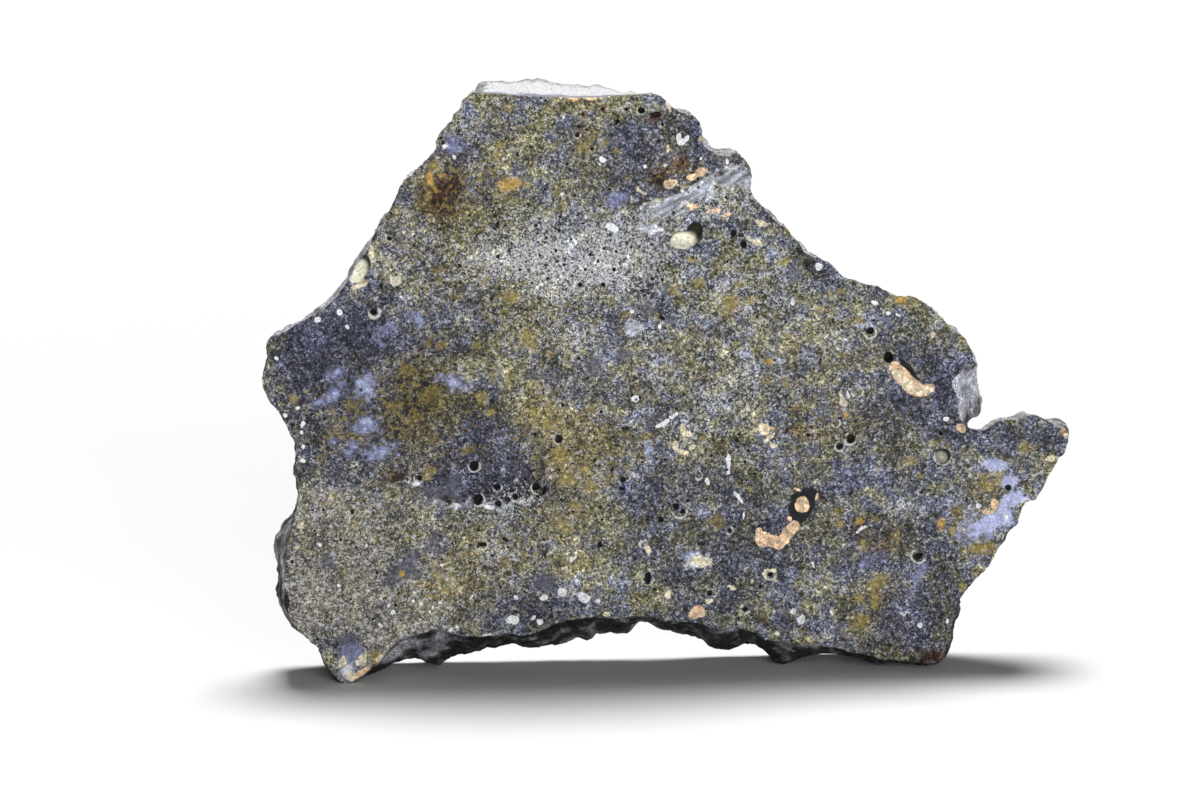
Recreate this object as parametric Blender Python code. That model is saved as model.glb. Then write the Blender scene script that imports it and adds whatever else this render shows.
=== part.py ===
# Eucrite meteorite slice: one sawn slab of stone standing on two small flat feet.
# The cut face looks along -Y, the slice's long side runs along X, and Z is up.
# All lengths are in metres.

from math import cos, radians, sin, tau
from random import Random

import bmesh
import bpy
import numpy as np
from mathutils import Euler, Matrix, Vector, noise

# Driving dimensions
SLICE_WIDTH = 0.120
SLICE_THICKNESS = 0.014
FOOT_TURN = radians(1.2)
FOOT_FLAT_DEPTH = 0.00025
WALL_ROUGHNESS = 0.0005
WALL_ROUGHNESS_GRAIN = 0.0042
LEAN_SMOOTHING = 0.0045
BACK_TUCK = 0.0011

# How far through the thickness a side wall stands out farthest, as a share of it. An
# overhanging wall does so before the back, and a wall that faces up only at the back.
FARTHEST_BELOW = 0.62
FARTHEST_ABOVE = 1.0
FACING_UP_SLOPE = 0.9
TUCKED_UNDER = 0.99

# The face's edge is drawn in pixels of a square-on picture whose left and right tips are
# SLICE_WIDTH apart. The eye looks down on the slice by LOOK_DOWN, so heights are a little
# foreshortened and the top of the slab shows beyond the cut face's edge.
LEFT_TIP = 262.0
RIGHT_TIP = 1073.0
LEFT_FOOT_TIP = (342.0, 686.5)
LOOK_DOWN = radians(11.0)
PIXEL = SLICE_WIDTH / (RIGHT_TIP - LEFT_TIP)

# The top edge was sawn square and flat between these two places, so it has no lumps.
SAWN_TOP = (474.0, 618.0)
SAWN_TOP_BELOW = 110.0

# Each point is (x, y, reach): a place on the cut face's edge, and how many pixels of the
# broken side wall show beyond it. A negative reach is a wall that draws back out of sight.
LEFT_SHOULDER = [
    (263, 388, -4), (262, 380, -5), (264, 369, -5), (267, 356, -5), (267, 342, -4), (271, 336.5, -3),
    (277, 334, -1), (285, 332, 0), (293, 327.5, 2), (303, 321, 3), (312, 317, 5), (320, 311, 6),
    (328, 306, 7), (334, 300, 8), (338, 296, 8), (343, 288, 6), (348, 282, 6), (354, 273, 7),
    (361, 261, 6), (366, 254, 5), (370, 249, 4), (372, 240, 2), (379, 226, 1), (384, 221, 1),
    (389, 213.5, -1), (395, 201, -2), (400, 190, -2), (405, 180, -1), (411, 177, -1), (420, 168, -2),
    (430, 158, -2), (437, 149, -1), (436, 143, -2), (441, 133, -2), (450, 126, -1), (453, 121, -2),
    (455, 116, -2), (460, 112, -1), (463, 105, -2), (467, 99, 1),
]
TOP = [
    (470, 95, 5), (475, 94.5, 10), (481, 95, 13), (490, 95.5, 16), (500, 96, 17), (510, 96.8, 16),
    (520, 97.5, 17.5), (530, 98, 20), (538, 98.5, 22), (544, 98.6, 22), (549, 98.8, 19.5),
    (563, 99.3, 17), (576, 99.8, 15), (590, 99.3, 15), (600, 99, 15), (607, 98.5, 12),
    (615, 97.5, 8), (623, 97, 6), (632, 96.5, 4.5), (645, 96, 3), (655, 96.5, 2),
]
RIGHT_SHOULDER = [
    (660, 99, 1), (665, 103, 1), (670, 108, 1), (676, 112, 1), (683, 115, 1), (690, 116, 1),
    (695, 119, 1), (699, 124, 2), (701, 129, 2), (702, 135, 1), (701, 140, 3), (702, 145, 6),
    (706, 149.5, 8), (711, 153, 8), (716, 156, 6), (721, 157.5, 3), (727, 156.5, 2), (733, 154, 1),
    (738, 154.5, 1), (743, 158.5, 1), (747, 163, 1), (749, 169, 0), (752, 177, 0), (750, 187, -1),
    (750, 193, -1), (755, 202, -1), (766, 212, 0), (775, 222, 0), (785.5, 229.5, 0), (790, 233.5, 0),
    (791, 238, 0), (799, 243.5, 1), (801, 248, 2), (805, 253, 3), (811, 256.5, 3), (818, 258.5, 2),
    (830, 264.5, 1), (840, 275, 1), (846, 278.5, 1), (858, 282, 1), (864, 285, 0), (871, 284.5, 0),
    (885, 291.5, -1), (897, 297.5, -2), (903, 296.5, -3), (909, 296.5, -3), (915, 298, -3),
    (926, 304, -1), (935, 312, 0), (943, 320, -2), (950, 329, -3), (955, 332.5, -4), (965, 337.5, -4),
    (970, 349, -6), (973, 361, -5),
]
RIGHT_LOBE = [
    (974, 367, 0), (967, 370, 8), (958, 373, 17), (953, 379, 22), (952, 385, 25), (954, 391, 25),
    (957, 398, 23), (958, 406, 22), (959, 413, 20), (960, 419, 14), (962, 424, 6), (966, 428, 0),
]
RIGHT_ARM = [
    (975, 430.5, -1), (983, 431, -1), (989, 429, -1), (993, 425.5, 0), (997, 421.5, 1),
    (1003, 420.5, 1), (1018, 419.5, 2), (1024, 417, 5), (1030, 415.5, 4), (1036, 415.5, 1),
    (1043, 418, -2), (1056, 426, -4), (1062, 429, -3), (1067, 433, 1), (1070, 438, 3), (1069, 443, 2),
    (1066, 452, -1), (1063, 456, -2), (1058, 457.5, -2), (1056, 464, -3), (1053, 470, -3),
    (1048, 478, -3), (1044, 487, -3), (1040, 494, -3), (1037, 499.5, -3), (1030, 501, -3),
    (1026, 504, -3), (1022, 509, -3), (1020, 516, -3), (1019, 524, -3), (1010, 531, -3),
    (1006, 535, -3), (1000, 547, -3), (991, 565, -3), (988, 569, -3), (979, 577, -3), (972, 586, -3),
    (964, 596, -3), (961, 601, -3), (957, 616, -3), (954, 624, -3), (952, 638, -3), (947, 656, -2),
    (944, 661, -2),
]
RIGHT_FOOT = [
    (940, 664, -1), (930, 665, 0), (918, 664.5, 1), (905, 662, 1.5), (898, 661.5, 1), (890, 661, 1.5),
    (886, 661.5, 3), (881, 660.5, 5.5), (877, 659, 5), (872, 656.5, 5), (864, 655.5, 4),
    (855, 654, 3.5), (848, 652, 3.5), (842, 650, 4.5),
]
UNDERSIDE = [
    (836, 648.5, 6.5), (830, 648, 8), (822, 647, 11), (812, 645, 17), (805, 643.5, 20.5),
    (798, 643, 22), (791, 643, 21), (784, 643, 18), (778, 643, 13), (771, 642, 9), (765, 640.5, 8),
    (760, 636, 10), (754, 633, 13), (748, 631, 16), (742, 629.5, 20), (735, 629.5, 22),
    (727, 630, 20), (719, 629.5, 18.5), (712, 628.5, 17.5), (706, 626, 16), (702, 623.5, 17),
    (695, 622.5, 15), (686, 622.5, 11.5), (677, 622, 8.5), (668, 622, 7), (661, 621.5, 6.5),
    (654, 619, 7), (649, 617.5, 7), (643, 617, 6.5), (637, 617, 10), (632, 617.5, 14), (625, 618, 17),
    (618, 618.5, 17), (610, 618.5, 15.5), (602, 618.5, 17), (594, 618, 19), (587, 618, 24),
    (582, 619, 24), (576, 620, 21), (570, 620.5, 20), (565, 621.5, 22), (560, 623, 23),
    (555, 625, 22), (550, 627, 20.5), (544, 630, 17), (538, 633, 13.5), (530, 635.5, 10.5),
    (522, 636.5, 9), (512, 635, 11), (503, 634, 13), (494, 635.5, 12), (486, 637, 11),
    (478, 637.5, 14), (470, 637, 17), (463, 635.5, 20), (456, 635.5, 22), (450, 634.5, 25),
    (444, 632, 29), (438, 630.5, 33), (432, 630.5, 37), (426, 631.5, 37), (420, 633.5, 34),
    (414, 635.5, 32), (408, 636.5, 29), (402, 638, 26), (397, 641.5, 22), (392, 646, 19),
    (388, 650, 15), (384, 655, 11),
]
LEFT_FOOT = [
    (381, 660, 7), (377, 665, 4), (371, 669, 2), (365, 674, 0), (358, 679.5, -2), (351, 683.5, -5),
    (345, 686, -8), (341, 686, -9), (336, 680, -8), (329, 672, -6), (323, 663, -4), (320, 652, -3),
    (312, 644.5, -3), (303, 636, -1), (299, 632, 2), (293, 624.5, 1),
]
LEFT_SIDE = [
    (287, 616, 2), (285, 611, 5), (284, 606, 7), (283.5, 600, 7.5), (283.5, 592, 6.5),
    (283.5, 584, 7), (283.5, 577, 7.5), (284.5, 569, 11), (286, 561, 13.5), (287, 554, 13),
    (288, 547, 10), (289, 540, 8), (290, 534, 3), (291, 528, 0), (294, 515, -3), (297.5, 500, -3),
    (298.5, 493, -3), (298, 486, -3), (298.5, 480, -3), (296.5, 468, -3), (296, 460, -3),
    (295, 444, -3), (290, 435, -3), (285, 424, -3), (279, 412.5, -3), (274, 407, -3), (268, 398, -3),
]
FACE_EDGE = (
    LEFT_SHOULDER + TOP + RIGHT_SHOULDER + RIGHT_LOBE + RIGHT_ARM
    + RIGHT_FOOT + UNDERSIDE + LEFT_FOOT + LEFT_SIDE
)

# The broken lobe stands out to the right and a little down, whichever way its edge runs.
LOBE_DIRECTION = (0.90, -0.42)

# Depths of the wall's sections, as shares of the thickness from the cut face to the back
SECTION_DEPTHS = [0.0, 0.1, 0.26, 0.44, 0.62, 0.82, 1.0]

# Gas bubbles cut open by the saw: (x, y, half width, half height, turn in degrees, depth),
# in pixels apart from the turn. The first is the large one that breaks through the edge.
BUBBLES = [
    (359, 269, 8, 15, -28, 9), (686, 237, 13, 11, 0, 4.5), (943, 456, 7.5, 7, 0, 5),
    (888, 357, 5, 5, 0, 6), (655, 116.5, 5, 3.5, 0, 4), (641, 112, 3.5, 3.5, 0, 4),
    (743, 245, 4, 4, 0, 4.5), (733, 234, 3.2, 3.2, 0, 4), (870, 331, 3.8, 4, 0, 4.5),
    (374, 312, 3.2, 3.2, 0, 4), (474, 466, 4, 4, 0, 4.5), (478, 499.5, 5, 4.6, 0, 5),
    (498, 504, 3.5, 3.5, 0, 4), (515, 497, 3, 3, 0, 3.5), (540, 489, 6, 4, 10, 4.5),
    (497, 486, 3, 3, 0, 3.5), (419, 478, 3, 3, 0, 3.5), (559, 439, 4, 4, 0, 4.5),
    (482, 545, 4, 4, 0, 4.5), (505, 541, 3, 3, 0, 3.5), (600, 545, 3, 3, 0, 3.5),
    (623, 487, 3, 3, 0, 3.5), (674, 507, 3, 3, 0, 3.5), (684, 514, 3, 3, 0, 3.5),
    (662, 520, 3, 3, 0, 3.5), (648, 579, 4, 6.5, 0, 4.5), (851, 438, 4.2, 4.2, 0, 4.5),
    (839, 447, 3.6, 3.6, 0, 4), (919.5, 556.5, 4.6, 3.5, 0, 4), (1009, 488, 4, 3.2, 0, 3.5),
    (771, 575, 3.2, 3.2, 0, 4), (746, 610, 3, 3, 0, 3.5), (390, 239, 3, 3, 0, 3.5),
    (941, 433.5, 2.8, 2.8, 0, 3.5), (601, 111, 3, 3, 0, 3.5), (662, 318, 3, 2.6, 0, 3.5),
]
BACK_BUBBLE_COUNT = 24
BACK_BUBBLE_SEED = 11
BACK_BUBBLE_RADIUS = (0.0004, 0.0013)
BACK_BUBBLE_MARGIN = 0.0045
BACK_BUBBLE_SMALLNESS = 2.5
BACK_BUBBLE_SPACING = 2.0
BACK_BUBBLE_STRETCH = (0.8, 1.25)
# The saw passed a little inside each bubble's middle: this share of its depth is cut away.
BUBBLE_CUT_AWAY = 0.13
BUBBLE_SUBDIVISIONS = 2

STONE_COLOUR = (0.150, 0.145, 0.138, 1.0)
STONE_ROUGHNESS = 0.55


def clear_scene():
    for obj in list(bpy.data.objects):
        bpy.data.objects.remove(obj, do_unlink=True)


def make_collection(name):
    collection = bpy.data.collections.new(name)
    bpy.context.scene.collection.children.link(collection)
    return collection


def stone_material():
    material = bpy.data.materials.new("eucrite")
    material.use_nodes = True
    shader = material.node_tree.nodes["Principled BSDF"]
    shader.inputs["Base Color"].default_value = STONE_COLOUR
    shader.inputs["Roughness"].default_value = STONE_ROUGHNESS
    shader.inputs["Metallic"].default_value = 0.0
    return material


def on_face(x, y):
    """Place a picture point on the cut face, turned so that both feet reach the ground."""
    across = (np.asarray(x, float) - LEFT_FOOT_TIP[0]) * PIXEL
    height = (LEFT_FOOT_TIP[1] - np.asarray(y, float)) * PIXEL / cos(LOOK_DOWN)
    turned_across = across * cos(FOOT_TURN) + height * sin(FOOT_TURN)
    turned_height = height * cos(FOOT_TURN) - across * sin(FOOT_TURN)
    return turned_across, turned_height


def lean_directions(across, height):
    """Outward direction at each edge point, averaged along the edge so walls don't cross."""
    edge = np.stack([across, height], axis=1)
    step = np.roll(edge, -1, axis=0) - np.roll(edge, 1, axis=0)
    outward = np.stack([-step[:, 1], step[:, 0]], axis=1)
    span = np.linalg.norm(np.roll(edge, -1, axis=0) - edge, axis=1)
    along = np.concatenate([[0.0], np.cumsum(span)[:-1]])
    gap = np.abs(along[:, None] - along[None, :])
    gap = np.minimum(gap, span.sum() - gap)
    weight = np.exp(-0.5 * (gap / LEAN_SMOOTHING) ** 2)
    smooth = weight @ outward
    smooth /= np.linalg.norm(smooth, axis=1, keepdims=True)
    first = len(LEFT_SHOULDER + TOP + RIGHT_SHOULDER)
    smooth[first + 1:first + len(RIGHT_LOBE)] = LOBE_DIRECTION
    return smooth


def wall_sections():
    """Closed rings of points from the cut face to the back, one for each section depth."""
    x, y, reach = np.array(FACE_EDGE, float).T
    across, height = on_face(x, y)
    outward = lean_directions(across, height)
    upward = outward[:, 1]
    facing_up = np.clip(0.5 + FACING_UP_SLOPE * upward, 0.0, 1.0)
    farthest = FARTHEST_BELOW + (FARTHEST_ABOVE - FARTHEST_BELOW) * facing_up
    lean = reach * PIXEL - farthest * SLICE_THICKNESS * sin(LOOK_DOWN) * upward
    sawn = (x > SAWN_TOP[0]) & (x < SAWN_TOP[1]) & (y < SAWN_TOP_BELOW)
    rings = []
    for depth in SECTION_DEPTHS:
        rise = np.sin(0.25 * tau * np.clip(depth / farthest, 0.0, 1.0))
        rise = np.where(sawn, depth, rise)
        tuck = BACK_TUCK * np.clip((depth - farthest) / (1.0 - farthest + 1e-6), 0.0, 1.0)
        out = lean * rise - np.where(farthest < TUCKED_UNDER, tuck, 0.0)
        lumps = [
            noise.noise(Vector((a, depth * SLICE_THICKNESS, h)) / WALL_ROUGHNESS_GRAIN)
            for a, h in zip(across, height)
        ]
        middle = sin(0.5 * tau * depth)
        out = out + np.where(sawn, 0.0, WALL_ROUGHNESS * 2.0 * middle * np.array(lumps))
        back = (depth - 0.5) * SLICE_THICKNESS
        rings.append([
            Vector((a + o * n[0], back, h + o * n[1]))
            for a, h, o, n in zip(across, height, out, outward)
        ])
    return rings


def make_slab(collection, material):
    """Loft the unlike wall sections, then close the two sawn faces."""
    mesh_data = bmesh.new()
    rings = [[mesh_data.verts.new(point) for point in ring] for ring in wall_sections()]
    count = len(rings[0])
    for near, far in zip(rings, rings[1:]):
        for i in range(count):
            j = (i + 1) % count
            mesh_data.faces.new((near[i], near[j], far[j], far[i]))
    mesh_data.faces.new(rings[0])
    mesh_data.faces.new(list(reversed(rings[-1])))
    bmesh.ops.recalc_face_normals(mesh_data, faces=mesh_data.faces)
    bmesh.ops.triangulate(mesh_data, faces=mesh_data.faces, ngon_method="BEAUTY")
    mesh = bpy.data.meshes.new("meteorite_slice")
    mesh_data.to_mesh(mesh)
    mesh_data.free()
    mesh.materials.append(material)
    slab = bpy.data.objects.new("meteorite_slice", mesh)
    collection.objects.link(slab)
    return slab


def edge_distance(across, height, edge):
    """Shortest distance from a place on the face to the edge's points."""
    return np.min(np.hypot(edge[0] - across, edge[1] - height))


def inside_edge(across, height, edge):
    """True where the place is inside the edge, by counting the crossings to its right."""
    next_across, next_height = np.roll(edge[0], -1), np.roll(edge[1], -1)
    spans = (edge[1] > height) != (next_height > height)
    share = (height - edge[1]) / np.where(spans, next_height - edge[1], 1.0)
    crossing = edge[0] + share * (next_across - edge[0])
    return np.count_nonzero(spans & (crossing > across)) % 2 == 1


def front_bubbles():
    """Centre, half sizes and turn of each bubble that the front cut opened."""
    for x, y, half_width, half_height, turn, depth in BUBBLES:
        across, height = on_face(x, y)
        sizes = Vector((half_width, depth, half_height)) * PIXEL
        centre = Vector((across, -0.5 * SLICE_THICKNESS - BUBBLE_CUT_AWAY * sizes.y, height))
        yield centre, sizes, radians(turn) + FOOT_TURN


def back_bubbles():
    """The back is a second saw cut through the same foamy rock, with bubbles of its own."""
    chance = Random(BACK_BUBBLE_SEED)
    x, y, _ = np.array(FACE_EDGE, float).T
    edge = on_face(x, y)
    placed = []
    while len(placed) < BACK_BUBBLE_COUNT:
        across = chance.uniform(edge[0].min(), edge[0].max())
        height = chance.uniform(edge[1].min(), edge[1].max())
        small, large = BACK_BUBBLE_RADIUS
        radius = small + (large - small) * chance.random() ** BACK_BUBBLE_SMALLNESS
        stretch = chance.uniform(*BACK_BUBBLE_STRETCH)
        turn = chance.uniform(0.0, tau)
        clear = all(
            np.hypot(across - a, height - h) > BACK_BUBBLE_SPACING * (radius + r)
            for a, h, r in placed
        )
        within = inside_edge(across, height, edge)
        if clear and within and edge_distance(across, height, edge) > BACK_BUBBLE_MARGIN:
            placed.append((across, height, radius))
            back = 0.5 * SLICE_THICKNESS + BUBBLE_CUT_AWAY * radius
            centre = Vector((across, back, height))
            yield centre, Vector((radius * stretch, radius, radius / stretch)), turn


def make_bubble_cutter(collection):
    """One mesh of separate ellipsoids, half sunk in the two sawn faces."""
    mesh_data = bmesh.new()
    for centre, sizes, turn in list(front_bubbles()) + list(back_bubbles()):
        place = Matrix.LocRotScale(centre, Euler((0.0, turn, 0.0)), sizes)
        bmesh.ops.create_icosphere(
            mesh_data, subdivisions=BUBBLE_SUBDIVISIONS, radius=1.0, matrix=place
        )
    mesh = bpy.data.meshes.new("bubble_cutter")
    mesh_data.to_mesh(mesh)
    mesh_data.free()
    return add_cutter("bubble_cutter", mesh, collection)


def make_ground_cutter(collection):
    """A block, wider and deeper than the slice, whose top wears a flat on each foot."""
    mesh_data = bmesh.new()
    size = Vector((2.0 * SLICE_WIDTH, 2.0 * SLICE_THICKNESS, SLICE_THICKNESS))
    centre = Vector((0.5 * SLICE_WIDTH, 0.0, FOOT_FLAT_DEPTH - 0.5 * size.z))
    bmesh.ops.create_cube(mesh_data, size=1.0, matrix=Matrix.LocRotScale(centre, None, size))
    mesh = bpy.data.meshes.new("ground_cutter")
    mesh_data.to_mesh(mesh)
    mesh_data.free()
    return add_cutter("ground_cutter", mesh, collection)


def add_cutter(name, mesh, collection):
    cutter = bpy.data.objects.new(name, mesh)
    cutter.hide_render = True
    cutter.display_type = "WIRE"
    collection.objects.link(cutter)
    return cutter


def cut(slab, cutter):
    boolean = slab.modifiers.new(cutter.name, "BOOLEAN")
    boolean.operation = "DIFFERENCE"
    boolean.solver = "EXACT"
    boolean.object = cutter


def centre_on_ground(objects, slab):
    """Stand the worn feet on the ground and set the origin under the middle of the slice."""
    bpy.context.view_layer.update()
    corners = [Vector(corner) for corner in slab.bound_box]
    left = min(corner.x for corner in corners)
    right = max(corner.x for corner in corners)
    near = min(corner.y for corner in corners)
    far = max(corner.y for corner in corners)
    shift = Vector((-0.5 * (left + right), -0.5 * (near + far), -FOOT_FLAT_DEPTH))
    for obj in objects:
        obj.location = shift


def main():
    clear_scene()
    parts = make_collection("eucrite_meteorite_slice")
    cutters = make_collection("cutters")
    slab = make_slab(parts, stone_material())
    bubble_cutter = make_bubble_cutter(cutters)
    ground_cutter = make_ground_cutter(cutters)
    cut(slab, bubble_cutter)
    cut(slab, ground_cutter)
    centre_on_ground([slab, bubble_cutter, ground_cutter], slab)


main()
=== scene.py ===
from math import cos, pi, radians, sin, tau
from random import Random

import bpy
import numpy as np
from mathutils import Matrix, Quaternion, Vector
from mathutils.geometry import delaunay_2d_cdt


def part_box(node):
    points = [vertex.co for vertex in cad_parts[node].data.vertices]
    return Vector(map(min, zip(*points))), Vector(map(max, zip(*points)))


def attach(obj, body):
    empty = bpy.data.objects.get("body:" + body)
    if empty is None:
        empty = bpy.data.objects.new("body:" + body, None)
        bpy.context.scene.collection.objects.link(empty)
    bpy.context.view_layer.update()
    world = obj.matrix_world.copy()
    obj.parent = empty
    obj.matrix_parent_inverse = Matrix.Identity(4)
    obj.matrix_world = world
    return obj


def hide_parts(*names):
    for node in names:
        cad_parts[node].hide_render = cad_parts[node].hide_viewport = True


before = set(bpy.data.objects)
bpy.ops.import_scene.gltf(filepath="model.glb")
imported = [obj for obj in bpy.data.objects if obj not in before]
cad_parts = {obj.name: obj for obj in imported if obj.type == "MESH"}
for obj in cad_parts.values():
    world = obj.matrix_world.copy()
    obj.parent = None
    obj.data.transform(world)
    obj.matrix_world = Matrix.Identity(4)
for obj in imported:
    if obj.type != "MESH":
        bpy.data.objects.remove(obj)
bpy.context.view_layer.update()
cadLow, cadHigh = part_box("meteorite_slice")
print("frame loaded")

# The picture of the cut face: places on it are given in pixels, and become metres on the slab.
picture = {
    "width": 1200,
    "leftTip": 262.0,                 # the face's two ends, this many metres apart
    "rightTip": 1073.0,
    "sliceWidth": 0.120,
    "leftFootTip": (342.0, 686.5),
    "footFlat": 0.00025,              # worn off the foot, below the ground
    "footToMiddle": 0.048803,         # from the left foot's tip to the middle of the slice
    "lookDown": radians(11.0),
    "footTurn": radians(1.2),         # turns the slice until both feet reach the ground
}
pixel = picture["sliceWidth"] / (picture["rightTip"] - picture["leftTip"])
thickness = cadHigh.y - cadLow.y
frontY = cadLow.y
backY = cadHigh.y

# Places on the cut face's edge: x, y, and how many pixels of broken wall show beyond it.
leftShoulder = [
    (263, 388, -4), (262, 380, -5), (264, 369, -5), (267, 356, -5), (267, 342, -4), (271, 336.5, -3),
    (277, 334, -1), (285, 332, 0), (293, 327.5, 2), (303, 321, 3), (312, 317, 5), (320, 311, 6),
    (328, 306, 7), (334, 300, 8), (338, 296, 8), (343, 288, 6), (348, 282, 6), (354, 273, 7),
    (361, 261, 6), (366, 254, 5), (370, 249, 4), (372, 240, 2), (379, 226, 1), (384, 221, 1),
    (389, 213.5, -1), (395, 201, -2), (400, 190, -2), (405, 180, -1), (411, 177, -1), (420, 168, -2),
    (430, 158, -2), (437, 149, -1), (436, 143, -2), (441, 133, -2), (450, 126, -1), (453, 121, -2),
    (455, 116, -2), (460, 112, -1), (463, 105, -2), (467, 99, 1),
]
sawnTop = [
    (470, 95, 5), (475, 94.5, 10), (481, 95, 13), (490, 95.5, 16), (500, 96, 17), (510, 96.8, 16),
    (520, 97.5, 17.5), (530, 98, 20), (538, 98.5, 22), (544, 98.6, 22), (549, 98.8, 19.5),
    (563, 99.3, 17), (576, 99.8, 15), (590, 99.3, 15), (600, 99, 15), (607, 98.5, 12),
    (615, 97.5, 8), (623, 97, 6), (632, 96.5, 4.5), (645, 96, 3), (655, 96.5, 2),
]
rightShoulder = [
    (660, 99, 1), (665, 103, 1), (670, 108, 1), (676, 112, 1), (683, 115, 1), (690, 116, 1),
    (695, 119, 1), (699, 124, 2), (701, 129, 2), (702, 135, 1), (701, 140, 3), (702, 145, 6),
    (706, 149.5, 8), (711, 153, 8), (716, 156, 6), (721, 157.5, 3), (727, 156.5, 2), (733, 154, 1),
    (738, 154.5, 1), (743, 158.5, 1), (747, 163, 1), (749, 169, 0), (752, 177, 0), (750, 187, -1),
    (750, 193, -1), (755, 202, -1), (766, 212, 0), (775, 222, 0), (785.5, 229.5, 0), (790, 233.5, 0),
    (791, 238, 0), (799, 243.5, 1), (801, 248, 2), (805, 253, 3), (811, 256.5, 3), (818, 258.5, 2),
    (830, 264.5, 1), (840, 275, 1), (846, 278.5, 1), (858, 282, 1), (864, 285, 0), (871, 284.5, 0),
    (885, 291.5, -1), (897, 297.5, -2), (903, 296.5, -3), (909, 296.5, -3), (915, 298, -3),
    (926, 304, -1), (935, 312, 0), (943, 320, -2), (950, 329, -3), (955, 332.5, -4), (965, 337.5, -4),
    (970, 349, -6), (973, 361, -5),
]
rightLobe = [
    (974, 367, 0), (967, 370, 8), (958, 373, 17), (953, 379, 22), (952, 385, 25), (954, 391, 25),
    (957, 398, 23), (958, 406, 22), (959, 413, 20), (960, 419, 14), (962, 424, 6), (966, 428, 0),
]
rightArm = [
    (975, 430.5, -1), (983, 431, -1), (989, 429, -1), (993, 425.5, 0), (997, 421.5, 1),
    (1003, 420.5, 1), (1018, 419.5, 2), (1024, 417, 5), (1030, 415.5, 4), (1036, 415.5, 1),
    (1043, 418, -2), (1056, 426, -4), (1062, 429, -3), (1067, 433, 1), (1070, 438, 3), (1069, 443, 2),
    (1066, 452, -1), (1063, 456, -2), (1058, 457.5, -2), (1056, 464, -3), (1053, 470, -3),
    (1048, 478, -3), (1044, 487, -3), (1040, 494, -3), (1037, 499.5, -3), (1030, 501, -3),
    (1026, 504, -3), (1022, 509, -3), (1020, 516, -3), (1019, 524, -3), (1010, 531, -3),
    (1006, 535, -3), (1000, 547, -3), (991, 565, -3), (988, 569, -3), (979, 577, -3), (972, 586, -3),
    (964, 596, -3), (961, 601, -3), (957, 616, -3), (954, 624, -3), (952, 638, -3), (947, 656, -2),
    (944, 661, -2),
]
rightFoot = [
    (940, 664, -1), (930, 665, 0), (918, 664.5, 1), (905, 662, 1.5), (898, 661.5, 1), (890, 661, 1.5),
    (886, 661.5, 3), (881, 660.5, 5.5), (877, 659, 5), (872, 656.5, 5), (864, 655.5, 4),
    (855, 654, 3.5), (848, 652, 3.5), (842, 650, 4.5),
]
underside = [
    (836, 648.5, 6.5), (830, 648, 8), (822, 647, 11), (812, 645, 17), (805, 643.5, 20.5),
    (798, 643, 22), (791, 643, 21), (784, 643, 18), (778, 643, 13), (771, 642, 9), (765, 640.5, 8),
    (760, 636, 10), (754, 633, 13), (748, 631, 16), (742, 629.5, 20), (735, 629.5, 22),
    (727, 630, 20), (719, 629.5, 18.5), (712, 628.5, 17.5), (706, 626, 16), (702, 623.5, 17),
    (695, 622.5, 15), (686, 622.5, 11.5), (677, 622, 8.5), (668, 622, 7), (661, 621.5, 6.5),
    (654, 619, 7), (649, 617.5, 7), (643, 617, 6.5), (637, 617, 10), (632, 617.5, 14), (625, 618, 17),
    (618, 618.5, 17), (610, 618.5, 15.5), (602, 618.5, 17), (594, 618, 19), (587, 618, 24),
    (582, 619, 24), (576, 620, 21), (570, 620.5, 20), (565, 621.5, 22), (560, 623, 23),
    (555, 625, 22), (550, 627, 20.5), (544, 630, 17), (538, 633, 13.5), (530, 635.5, 10.5),
    (522, 636.5, 9), (512, 635, 11), (503, 634, 13), (494, 635.5, 12), (486, 637, 11),
    (478, 637.5, 14), (470, 637, 17), (463, 635.5, 20), (456, 635.5, 22), (450, 634.5, 25),
    (444, 632, 29), (438, 630.5, 33), (432, 630.5, 37), (426, 631.5, 37), (420, 633.5, 34),
    (414, 635.5, 32), (408, 636.5, 29), (402, 638, 26), (397, 641.5, 22), (392, 646, 19),
    (388, 650, 15), (384, 655, 11),
]
leftFoot = [
    (381, 660, 7), (377, 665, 4), (371, 669, 2), (365, 674, 0), (358, 679.5, -2), (351, 683.5, -5),
    (345, 686, -8), (341, 686, -9), (336, 680, -8), (329, 672, -6), (323, 663, -4), (320, 652, -3),
    (312, 644.5, -3), (303, 636, -1), (299, 632, 2), (293, 624.5, 1),
]
leftSide = [
    (287, 616, 2), (285, 611, 5), (284, 606, 7), (283.5, 600, 7.5), (283.5, 592, 6.5),
    (283.5, 584, 7), (283.5, 577, 7.5), (284.5, 569, 11), (286, 561, 13.5), (287, 554, 13),
    (288, 547, 10), (289, 540, 8), (290, 534, 3), (291, 528, 0), (294, 515, -3), (297.5, 500, -3),
    (298.5, 493, -3), (298, 486, -3), (298.5, 480, -3), (296.5, 468, -3), (296, 460, -3),
    (295, 444, -3), (290, 435, -3), (285, 424, -3), (279, 412.5, -3), (274, 407, -3), (268, 398, -3),
]
beforeLobe = leftShoulder + sawnTop + rightShoulder
faceEdge = beforeLobe + rightLobe + rightArm + rightFoot + underside + leftFoot + leftSide


def onFace(x, y):
    # pixels to metres: scaled, heights stretched by 1 / cos(lookDown), then turned by footTurn
    across = (np.asarray(x, float) - picture["leftFootTip"][0]) * pixel
    height = (picture["leftFootTip"][1] - np.asarray(y, float)) * pixel / cos(picture["lookDown"])
    turn = picture["footTurn"]
    faceX = across * cos(turn) + height * sin(turn) - picture["footToMiddle"]
    faceZ = height * cos(turn) - across * sin(turn) - picture["footFlat"]
    return faceX, faceZ


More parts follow.
